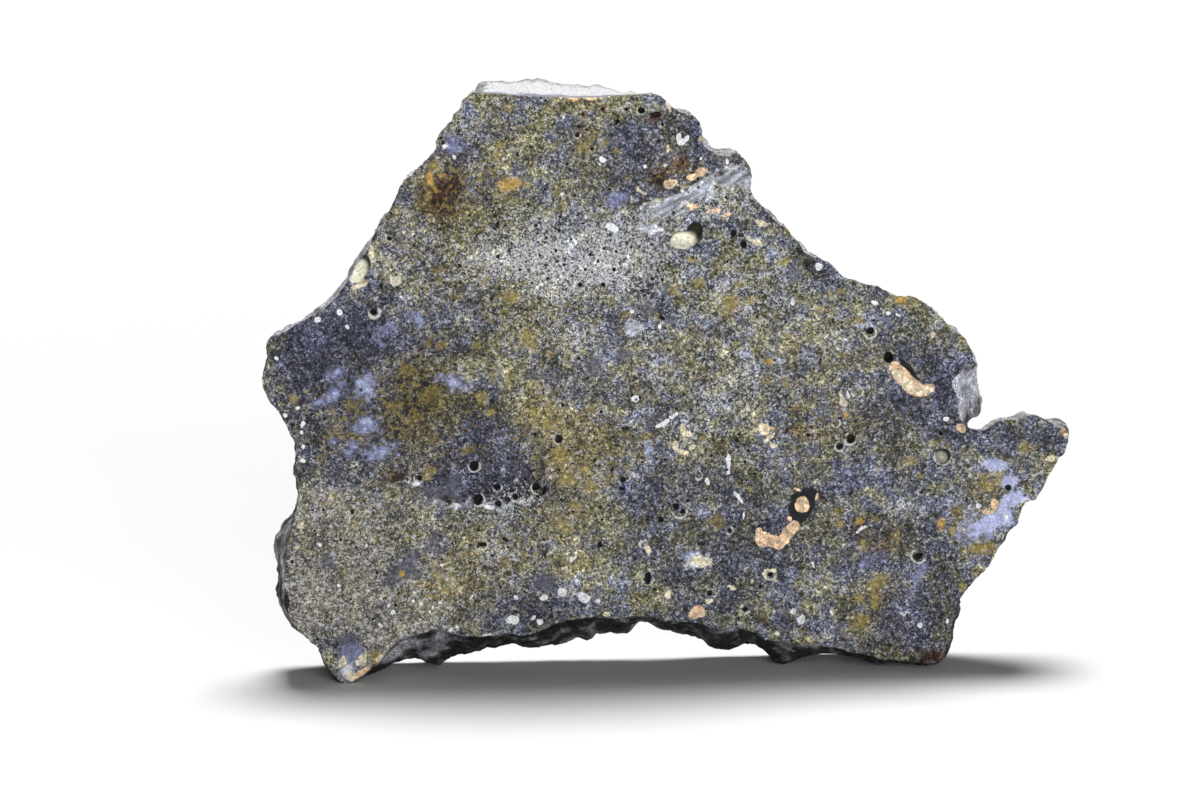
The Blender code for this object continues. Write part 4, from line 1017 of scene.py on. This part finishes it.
def fillMesh(name, points, triangles, quads):
    mesh = bpy.data.meshes.new(name)
    mesh.vertices.add(len(points))
    mesh.vertices.foreach_set("co", points.astype(np.float32).ravel())
    mesh.loops.add(3 * len(triangles) + 4 * len(quads))
    mesh.loops.foreach_set("vertex_index", np.concatenate([triangles.ravel(), quads.ravel()]).astype(np.int32))
    mesh.polygons.add(len(triangles) + len(quads))
    starts = np.concatenate([
        3 * np.arange(len(triangles)), 3 * len(triangles) + 4 * np.arange(len(quads)),
    ])
    mesh.polygons.foreach_set("loop_start", starts.astype(np.int32))
    mesh.update(calc_edges=True)
    mesh.validate()
    return mesh


points, triangles, quads, made = makeStoneSurface()
print("surface:", len(points), "points,", len(triangles) + 2 * len(quads), "triangles")


# Step 5: what colour lies where, as numbers on the points

def markSurface(points, made):
    # picture places of every point, wandering a little, and slanting through the thickness
    px, py = inPicture(points[:, 0], points[:, 2])
    depth = (points[:, 1] - frontY) / thickness
    deep = smoothStep(depth * 1.1)
    flat = np.column_stack([px, 90.0 * depth, py])
    wide, wideGrain = spread["backWander"]
    px = px - deep * (spread["slant"][0] + wide * latticeNoise(flat, wideGrain, 31))
    py = py - deep * (spread["slant"][1] + wide * latticeNoise(flat, wideGrain, 32))
    big, bigGrain, small, smallGrain = spread["zoneWander"]
    zoneX = px + big * latticeNoise(flat, bigGrain, 33) + small * latticeNoise(flat, smallGrain, 34)
    zoneY = py + big * latticeNoise(flat, bigGrain, 35) + small * latticeNoise(flat, smallGrain, 36)
    amount, grain = spread["spotWander"]
    spotX = px + amount * latticeNoise(flat, grain, 37)
    spotY = py + amount * latticeNoise(flat, grain, 38)
    marks = {kind: zoneValue(zoneX, zoneY, rows) for kind, rows in zones.items()}
    for kind, rows in spots.items():
        marks[kind] = spotValue(spotX, spotY, rows)
        if kind in backSpots["counts"]:
            behind = spotValue(spotX, spotY, drawBackSpots(kind))
            marks[kind] = np.maximum(marks[kind] - 2.0 * deep, behind - 2.0 * (1.0 - deep))
    marks["ring"] = ringValue(px, py, rings)
    marks["hollow"] = np.clip(1.25 - made["share"], -1.0, 1.25)
    marks["lining"] = spotValue(px, py, [row[0] for row in linedHollows]) - 2.0 * deep
    marks["liningLitSide"] = liningLitSide(px, py)
    marks["wall"] = made["onWall"]
    marks["sawnStrip"] = made["sawnStrip"]
    marks["upward"] = made["upward"]
    marks["depth"] = depth
    return marks


# Hollows with a pale mineral skin, given painted light and shade: each as a whole, its painted lit part, and how light
# that is
linedHollows = [
    ((360, 269, 10, 16, 28), (358, 273, 9, 14, 28), 0.95),
    ((684, 240.5, 14, 9.2, -8), (681, 243, 15, 10, -14), 1.0),
    ((695, 231.5, 7.6, 9.6, 0), (681, 243, 15, 10, -14), 1.0),
    ((943.5, 456, 8, 7.5, 0), (941, 459, 7, 6.5, 0), 0.42),
]


def liningLitSide(px, py):
    # 1 on a hollow's painted lit part, falling to 0 around it, where the skin gets painted shade
    tone = np.zeros(len(px))
    for whole, light, share in linedHollows:
        inside = ellipseDistance(px, py, whole) < 1.4
        tone[inside] = share * smoothStep(2.2 * (1.2 - ellipseDistance(px, py, light)))[inside]
    return tone


marks = markSurface(points, made)
stoneMesh = fillMesh("eucriteSlice", points, triangles, quads)
for name, values in marks.items():
    layer = stoneMesh.attributes.new(name, "FLOAT", "POINT")
    layer.data.foreach_set("value", values.astype(np.float32))
stoneMesh.polygons.foreach_set("use_smooth", np.ones(len(stoneMesh.polygons), bool))
stone = bpy.data.objects.new("eucriteSlice", stoneMesh)
bpy.context.scene.collection.objects.link(stone)
print("marks laid:", len(marks))


# Step 6: finishes

class Tap:
    # one output of a node; sums on taps add Math nodes, and node() adds any other kind
    def __init__(self, tree, output=None):
        self.tree = tree
        self.output = output

    def node(self, kind, settings, sockets, output=0):
        made = self.tree.nodes.new(kind)
        for name, value in settings.items():
            setattr(made, name, value)
        for name, value in sockets.items():
            if isinstance(value, Tap):
                self.tree.links.new(value.output, made.inputs[name])
            else:
                made.inputs[name].default_value = value
        return Tap(self.tree, made.outputs[output])

    def maths(self, operation, *others, clamp=False):
        values = dict(enumerate((self, *others)))
        return self.node("ShaderNodeMath", {"operation": operation, "use_clamp": clamp}, values)

    def __add__(self, other):
        return self.maths("ADD", other)

    def __sub__(self, other):
        return self.maths("SUBTRACT", other)

    def __mul__(self, other):
        return self.maths("MULTIPLY", other)

    def __truediv__(self, other):
        return self.maths("DIVIDE", other)

    def __pow__(self, other):
        return self.maths("POWER", other)

    def __rsub__(self, other):
        return self.maths("MULTIPLY", -1.0).maths("ADD", other)

    def __rpow__(self, other):
        return self.node("ShaderNodeMath", {"operation": "POWER"}, {0: other, 1: self})

    __radd__ = __add__
    __rmul__ = __mul__

    def clamped(self):
        return self.maths("ADD", 0.0, clamp=True)

    def between(self, low, high):
        # 0 below low, 1 above high, smooth between
        settings = {"interpolation_type": "SMOOTHSTEP", "clamp": True}
        return self.node("ShaderNodeMapRange", settings, {"Value": self, "From Min": low, "From Max": high})

    def colour(self, other, factor):
        # from this colour to the other one
        sockets = {0: factor, 6: self, 7: other}
        return self.node("ShaderNodeMix", {"data_type": "RGBA"}, sockets, 2)

    def scaled(self, factor):
        return self.node("ShaderNodeVectorMath", {"operation": "SCALE"}, {0: self, "Scale": factor})

    def times(self, other):
        return self.node("ShaderNodeVectorMath", {"operation": "MULTIPLY"}, {0: self, 1: other})

    def shadeOf(self, fixed):
        # a fixed colour made lighter or darker by this number
        return self.node("ShaderNodeVectorMath", {"operation": "SCALE"}, {0: fixed[:3], "Scale": self})

    def fixedMix(self, first, second):
        # from one fixed colour to another by this number
        return self.node("ShaderNodeMix", {"data_type": "RGBA"}, {0: self, 6: first, 7: second}, 2)


def newMaterial(name):
    material = bpy.data.materials.new(name)
    material.use_nodes = True
    material.node_tree.nodes.clear()
    return material, Tap(material.node_tree)


def finishMaterial(bench, shader):
    out = bench.tree.nodes.new("ShaderNodeOutputMaterial")
    bench.tree.links.new(shader.output, out.inputs["Surface"])


def paint(red, green, blue):
    return (red, green, blue, 1.0)


eucriteLook = {
    "grain": 0.00038,            # metres across a mineral grain, and across the finer ones
    "fineGrain": 0.00020,
    "contrast": 3.5,             # how far the brightness of grains spreads, as a power of e
    "clouds": ((0.0006, 1.3), (0.0012, 2.2), (0.0030, 2.3), (0.0075, 1.7)),   # size and strength of soft mottling
    "plain": paint(0.172, 0.171, 0.158),
    "blueTint": (0.78, 0.89, 1.42),      # soft patches lean to blue and others to olive
    "oliveTint": (1.15, 1.09, 0.64),
    "tints": ((0.0007, 1.5), (0.0021, 4.4), (0.0065, 3.4)),   # size and strength of the patches
    "dim": 0.75,                         # how far the dim and the lifted zones change the brightness
    "lift": 0.8,
    "zones": {
        "beige": paint(0.225, 0.204, 0.168),
        "pale": paint(0.300, 0.302, 0.308),
        "ochre": paint(0.215, 0.186, 0.088),
        "olive": paint(0.086, 0.074, 0.030),
        "slate": paint(0.112, 0.115, 0.155),
        "navy": paint(0.052, 0.054, 0.090),
        "brown": paint(0.076, 0.042, 0.024),
    },
    "spots": {
        "mist": paint(0.36, 0.38, 0.45),
        "violet": paint(0.185, 0.200, 0.335),
        "lilac": paint(0.33, 0.36, 0.54),
        "lavender": paint(0.48, 0.51, 0.77),
        "milk": paint(0.62, 0.63, 0.68),
        "clast": paint(0.090, 0.090, 0.115),
        "bronze": paint(0.165, 0.125, 0.036),
        "yellow": paint(0.300, 0.240, 0.078),
        "amber": paint(0.52, 0.32, 0.075),
        "black": paint(0.010, 0.010, 0.015),
        "white": paint(0.84, 0.85, 0.87),
        "salmon": paint(0.74, 0.53, 0.35),
        "cream": paint(0.78, 0.69, 0.50),
    },
    # where a spot's edge is crisp or soft, and how much of the ground it covers
    "spotEdge": {
        "lilac": (-0.6, 0.6, 0.8), "lavender": (-0.25, 0.3, 0.9), "violet": (-0.6, 0.6, 0.85), "yellow": (-0.4, 0.5, 0.7), "bronze": (-0.45, 0.5, 0.75), "milk": (-0.35, 0.6, 0.85),
        "clast": (-0.15, 0.2, 0.75), "mist": (-0.5, 0.6, 0.85), "amber": (-0.5, 0.5, 0.8), "cream": (-0.12, 0.25, 0.9),
    },
    "ragged": {"salmon": 0.4, "cream": 0.7, "white": 0.7, "black": 0.7},
    "wisps": {
        "lilac": 2.2, "lavender": 0.8, "violet": 2.6, "mist": 2.4, "milk": 2.4, "yellow": 1.4, "bronze": 1.6,
        "amber": 1.2,
    },
    # how far fine grain, and the softer mottling, lighten and darken a spot
    "spotGrain": {
        "salmon": 1.4, "cream": 1.5, "bronze": 1.8, "yellow": 1.8, "amber": 1.4, "clast": 1.6, "violet": 1.5, "milk": 1.5,
        "lilac": 1.2,
    },
    "spotShade": {"mist": 3.4, "lilac": 1.4, "lavender": 0.9, "violet": 1.8, "milk": 2.2, "cream": 1.2, "salmon": 2.2},
    "veinTurn": -0.56,           # the misty vein's streaks lean this many radians
    # pale rims round hollows: their own pale colour, kept on the lit side as a painted highlight
    "ring": paint(0.68, 0.68, 0.62),
    "whiteGrain": paint(0.60, 0.62, 0.66),
    "paleGrain": paint(0.42, 0.42, 0.41),
    "ochreGrain": paint(0.310, 0.225, 0.060),
    # the pale skin's painted shade and painted lit side
    "lining": (paint(0.022, 0.023, 0.012), paint(0.93, 0.90, 0.74)),   # its dark and its light side
    # painted shade inside hollows and pores, and its rust-dark version for the brown zones, part oxide and part shade
    "hollow": paint(0.005, 0.005, 0.006),
    "rustyHollowShade": paint(0.075, 0.020, 0.010),
    "poreNet": 0.0014,           # metres between the pores' possible places
    # the sawn strip's near white is a painted highlight where the overhead light falls on it
    "sawnStrip": paint(0.85, 0.85, 0.87),
    "sawnRim": paint(0.27, 0.25, 0.19),       # the strip's far edge
    "sawnLine": paint(0.36, 0.36, 0.44),      # and the line where it meets the cut face
    # the wall's painted shade, where it faces down, and painted light, where it faces up
    "wallShaded": paint(0.015, 0.015, 0.014),
    "wallLit": paint(0.36, 0.355, 0.36),
    # pale patches of painted light where the wall catches the light
    "wallLitPale": paint(0.62, 0.63, 0.70),
    "skins": ("salmon", "cream"),   # these spots keep their colour inside a hollow
    "roughness": 0.62,
    "specular": 0.2,
}


def eucriteMaterial():
    look = eucriteLook
    material, bench = newMaterial("eucrite")

    def mark(name):
        return bench.node("ShaderNodeAttribute", {"attribute_name": name}, {}, "Fac")

    def noise(vector, size, detail=2.0):
        return bench.node(
            "ShaderNodeTexNoise", {}, {"Vector": vector, "Scale": 1.0 / size, "Detail": detail}
        )

    place = bench.node("ShaderNodeTexCoord", {}, {}, "Object")
    bend = bench.node(
        "ShaderNodeTexNoise", {}, {"Vector": place, "Scale": 1.0 / 0.0006, "Detail": 1.0}, "Color"
    )
    bent = bench.node(
        "ShaderNodeVectorMath", {"operation": "MULTIPLY_ADD"},
        {0: bend, 1: (0.0003, 0.0003, 0.0003), 2: place}, 0,
    )

    def grains(size, vector=bent):
        # three random numbers for each mineral grain
        cells = bench.node("ShaderNodeTexVoronoi", {}, {"Vector": vector, "Scale": 1.0 / size}, "Color")
        split = {"mode": "RGB"}
        return [bench.node("ShaderNodeSeparateColor", split, {0: cells}, k) for k in range(3)]

    toneA, pickA, pickB = grains(look["grain"])
    toneB, pickC, pickD = grains(look["fineGrain"])
    threads = 1.0 - ((noise(bent, 0.0005, 1.0) - 0.5) * 9.0).maths("ABSOLUTE").clamped()
    tone = toneA * 0.42 + toneB * 0.45 + threads * 0.13
    cloud = noise(place, 0.0026, 3.0)
    spreadOf = (tone - 0.5) * look["contrast"]
    for size, strength in look["clouds"]:
        spreadOf = spreadOf + (noise(place, size, 2.0) - 0.5) * strength
    brightness = 2.718 ** (spreadOf * (1.0 - mark("beige") * 0.2 + mark("pale") * 0.3))
    brightness = brightness * (1.0 - mark("dim") * look["dim"]) * (1.0 + mark("lift") * look["lift"])

    # the zones flip grain by grain, so that their borders are grainy
    flip = (pickA - 0.5) * 2.6
    masks = {kind: mark(kind) for kind in look["zones"]}
    lean = (toneA - 0.5) * 0.3
    for size, strength in look["tints"]:
        lean = lean + (noise(place, size, 2.0) - 0.5) * strength
    lean = lean * (1.5 - tone * 1.2) + 0.52
    tint = bench.node("ShaderNodeMix", {"data_type": "VECTOR"}, {
        0: lean.clamped(), 4: look["blueTint"], 5: look["oliveTint"],
    }, 1)
    colour = tint.times(look["plain"][:3])
    for kind, paintOf in look["zones"].items():
        factor = (masks[kind] + masks[kind] * (1.0 - masks[kind]) * flip).clamped()
        colour = colour.colour(paintOf, factor)
    colour = colour.scaled(brightness)
    clean = (1.0 - masks["brown"]) * (1.0 - masks["olive"] * 0.8) * (1.0 - masks["navy"] * 0.5)
    pallid = tone.between(0.62, 0.95) * 0.55 * (1.0 - masks["ochre"] * 0.6) * clean
    colour = colour.colour(look["paleGrain"], pallid)
    whiteShare = (0.11 + masks["pale"] * 0.44 + masks["beige"] * 0.06) * clean
    isWhite = (pickD + whiteShare - 1.0).between(0.0, 0.10)
    colour = colour.colour(look["whiteGrain"], isWhite * 0.85)
    colour = colour.colour(look["whiteGrain"], (pickA + whiteShare * 0.22 - 1.0).between(0.0, 0.02) * 0.7)
    ochreShare = 0.045 + masks["ochre"] * 0.30 + masks["olive"] * 0.07 - masks["navy"] * 0.06
    isOchre = (pickB + ochreShare - 1.0).between(0.0, 0.06)
    colour = colour.colour(look["ochreGrain"], isOchre * 0.6)
    isDark = (pickC + 0.14 + masks["navy"] * 0.1 - 1.0).between(0.0, 0.03)
    colour = colour.scaled(1.0 - isDark * 0.7)

    # spots: their edges wander with fine noise, and grain shows through a little
    rough = (noise(place, 0.0007, 2.0) - 0.5) * 0.9
    wisps = noise(place, 0.0011, 3.0)
    streaks = bench.node("ShaderNodeMapping", {"vector_type": "TEXTURE"}, {
        "Vector": place, "Rotation": (0.0, look["veinTurn"], 0.0), "Scale": (5.0, 1.0, 1.0),
    })
    streaks = noise(streaks, 0.0007, 2.0)
    skins = 0.0
    for kind, fixed in look["spots"].items():
        low, high, cover = look["spotEdge"].get(kind, (-0.06, 0.10, 0.96))
        mottle = (streaks if kind == "mist" else wisps) - 0.5
        wander = rough * look["ragged"].get(kind, 1.0) + mottle * look["wisps"].get(kind, 0.0)
        mask = (mark(kind) + wander).between(low, high) * cover
        if kind in look["skins"]:
            skins = mask + skins
        shade = (tone - 0.45) * look["spotGrain"].get(kind, 0.9) + mottle * look["spotShade"].get(kind, 0.5)
        grainy = (2.718 ** shade).shadeOf(fixed)
        colour = colour.colour(grainy, mask)
    # pale rims round hollows, partly real and partly a painted highlight on their lit side
    ring = (mark("ring") + rough * 2.6 - 0.15).between(0.0, 0.5)
    colour = colour.colour(look["ring"], ring * 0.85)

    # pores too small to model: painted shade, dark dots in some cells of a coarser net
    net = {"Vector": place, "Scale": 1.0 / look["poreNet"], "Randomness": 0.9}
    away = bench.node("ShaderNodeTexVoronoi", {}, net, "Distance")
    pick = bench.node("ShaderNodeTexVoronoi", {}, net, "Color")
    pick = bench.node("ShaderNodeSeparateColor", {"mode": "RGB"}, {0: pick}, 0)
    isPore = (pick + 0.10 + masks["pale"] * 0.45 - 1.0).between(0.0, 0.02) * (1.0 - mark("wall"))
    dot = 1.0 - (away - pick * 0.11 + rough * 0.06).between(0.07, 0.14)
    colour = colour.colour(look["hollow"], isPore * dot * 0.85 * (1.0 - skins).clamped())

    # hollows get painted shade, near black inside and rust-dark in the brown zones, unless a pale skin lines them
    hollow = mark("hollow").between(0.16, 0.5)
    lined = (mark("lining") + rough * 0.2).between(-0.05, 0.1)
    inside = masks["brown"].fixedMix(look["hollow"], look["rustyHollowShade"])
    colour = colour.colour(inside, hollow * (1.0 - lined) * (1.0 - skins).clamped() * 0.97)
    # painted light and shade across the skin: lit on one side, near black on the other
    shadedSkin = mark("liningLitSide").fixedMix(*look["lining"])
    shadedSkin = shadedSkin.scaled(2.718 ** ((tone - 0.5) * 1.0))
    colour = colour.colour(shadedSkin, lined)

    # the broken wall, as lit and shaded copies of one colour: painted shade where it faces down, darkest next to the
    # cut face, and painted light where it faces up; the sawn strip gets a near-white painted highlight
    isWall = mark("wall")
    litFacingUp = (mark("upward") + (cloud - 0.5) * 0.6).between(-0.1, 0.7)
    wallColour = litFacingUp.fixedMix(look["wallShaded"], look["wallLit"])
    wallGrain = 2.718 ** ((tone - 0.5) * 2.4 + (cloud - 0.5) * 1.5)
    wallColour = wallColour.scaled(wallGrain)
    # painted shade next to the cut face, unless the wall faces up
    underEdge = (mark("depth") + (cloud - 0.5) * 0.1).between(0.02, 0.12)
    wallColour = wallColour.scaled(0.35 + (underEdge + litFacingUp).clamped() * 0.65)
    wallColour = wallColour.colour(wallColour.times(tint), 0.2)
    # pale patches of painted light on the wall
    litPatch = (mark("wallPale") + (cloud - 0.5) * 1.6).clamped()
    wallColour = wallColour.colour((wallGrain ** 0.9).shadeOf(look["wallLitPale"]), litPatch)
    colour = colour.colour(wallColour, isWall * 0.95)
    # the sawn strip: a near-white painted highlight, with a line where it meets the cut face and a darker far edge
    through = mark("depth") + (cloud - 0.5) * 0.35
    stripColour = through.between(0.10, 0.20).fixedMix(look["sawnLine"], look["sawnStrip"])
    stripColour = stripColour.colour(look["sawnRim"], (through + (tone - 0.5) * 0.5).between(0.80, 0.95) * 0.9)
    stripColour = stripColour.scaled(1.0 - (toneB + 0.2 - 1.0).between(0.0, 0.05) * 0.45)
    isSawn = (mark("sawnStrip") + (cloud - 0.5) * 1.6).between(0.35, 0.65)
    colour = colour.colour(stripColour, isSawn * isWall)

    relief = tone * 0.5 + noise(place, 0.0004, 3.0)
    bump = bench.node("ShaderNodeBump", {}, {
        "Strength": 0.6, "Distance": 0.0001, "Height": relief * (0.3 + isWall * 2.2),
    })
    shader = bench.node("ShaderNodeBsdfPrincipled", {}, {
        "Base Color": colour,
        "Roughness": look["roughness"] - isWhite * 0.15,
        "Specular IOR Level": look["specular"],
        "Normal": bump,
    })
    finishMaterial(bench, shader)
    return material


stoneMesh.materials.append(eucriteMaterial())
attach(stone, "root")
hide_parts("meteorite_slice")
print("stone dressed")

# Step 7: floor, light and camera

studio = {
    "floorSize": 8.0,
    "floor": paint(0.84, 0.84, 0.84),
    "world": (1.0, 1.0, 1.0, 1.0),
    "worldStrength": 0.07,
    # where it shines from, how wide it is in degrees, strength
    "lights": {
        "overhead": ((0.06, 0.255, 1.0), 24.0, 3.45),
        "front": ((0.26, -1.0, 0.14), 40.0, 1.75),
    },
    "lens": 300.0,
    "sensor": 36.0,
    "aim": (600.0, 400.0),
}


def makeFloor():
    half = 0.5 * studio["floorSize"]
    corners = [(-half, -half, 0.0), (half, -half, 0.0), (half, half, 0.0), (-half, half, 0.0)]
    mesh = bpy.data.meshes.new("floor")
    mesh.from_pydata(corners, [], [(0, 1, 2, 3)])
    floor = bpy.data.objects.new("floor", mesh)
    bpy.context.scene.collection.objects.link(floor)
    material, bench = newMaterial("paleFloor")
    shader = bench.node("ShaderNodeBsdfPrincipled", {}, {
        "Base Color": studio["floor"], "Roughness": 0.9, "Specular IOR Level": 0.1,
    })
    finishMaterial(bench, shader)
    mesh.materials.append(material)


def makeLight(name, source, width, strength):
    data = bpy.data.lights.new(name, "SUN")
    data.angle = radians(width)
    data.energy = strength
    light = bpy.data.objects.new(name, data)
    light.location = source
    light.rotation_euler = (-Vector(source)).to_track_quat("-Z", "Y").to_euler()
    bpy.context.scene.collection.objects.link(light)


def makeWorld():
    world = bpy.data.worlds.new("studio")
    world.use_nodes = True
    background = world.node_tree.nodes["Background"]
    background.inputs["Color"].default_value = studio["world"]
    background.inputs["Strength"].default_value = studio["worldStrength"]
    bpy.context.scene.world = world


def makeCamera():
    # far back on a long lens, looking down on the face, rolled as the picture is
    data = bpy.data.cameras.new("camera")
    data.lens = studio["lens"]
    data.sensor_width = studio["sensor"]
    camera = bpy.data.objects.new("camera", data)
    x, z = onFace(*studio["aim"])
    aim = Vector((float(x), frontY, float(z)))
    away = studio["lens"] / studio["sensor"] * picture["width"] * pixel
    down = picture["lookDown"]
    back = Vector((0.0, -cos(down), sin(down)))
    camera.location = aim + back * away
    camera.rotation_mode = "QUATERNION"
    level = (-back).to_track_quat("-Z", "Y")
    camera.rotation_quaternion = level @ Quaternion((0.0, 0.0, 1.0), -picture["footTurn"])
    data.clip_start, data.clip_end = 0.05, 20.0
    bpy.context.scene.collection.objects.link(camera)
    bpy.context.scene.camera = camera


makeFloor()
makeWorld()
for name, facts in studio["lights"].items():
    makeLight(name, *facts)
makeCamera()
bpy.context.scene.view_settings.view_transform = "Standard"
print("studio set")
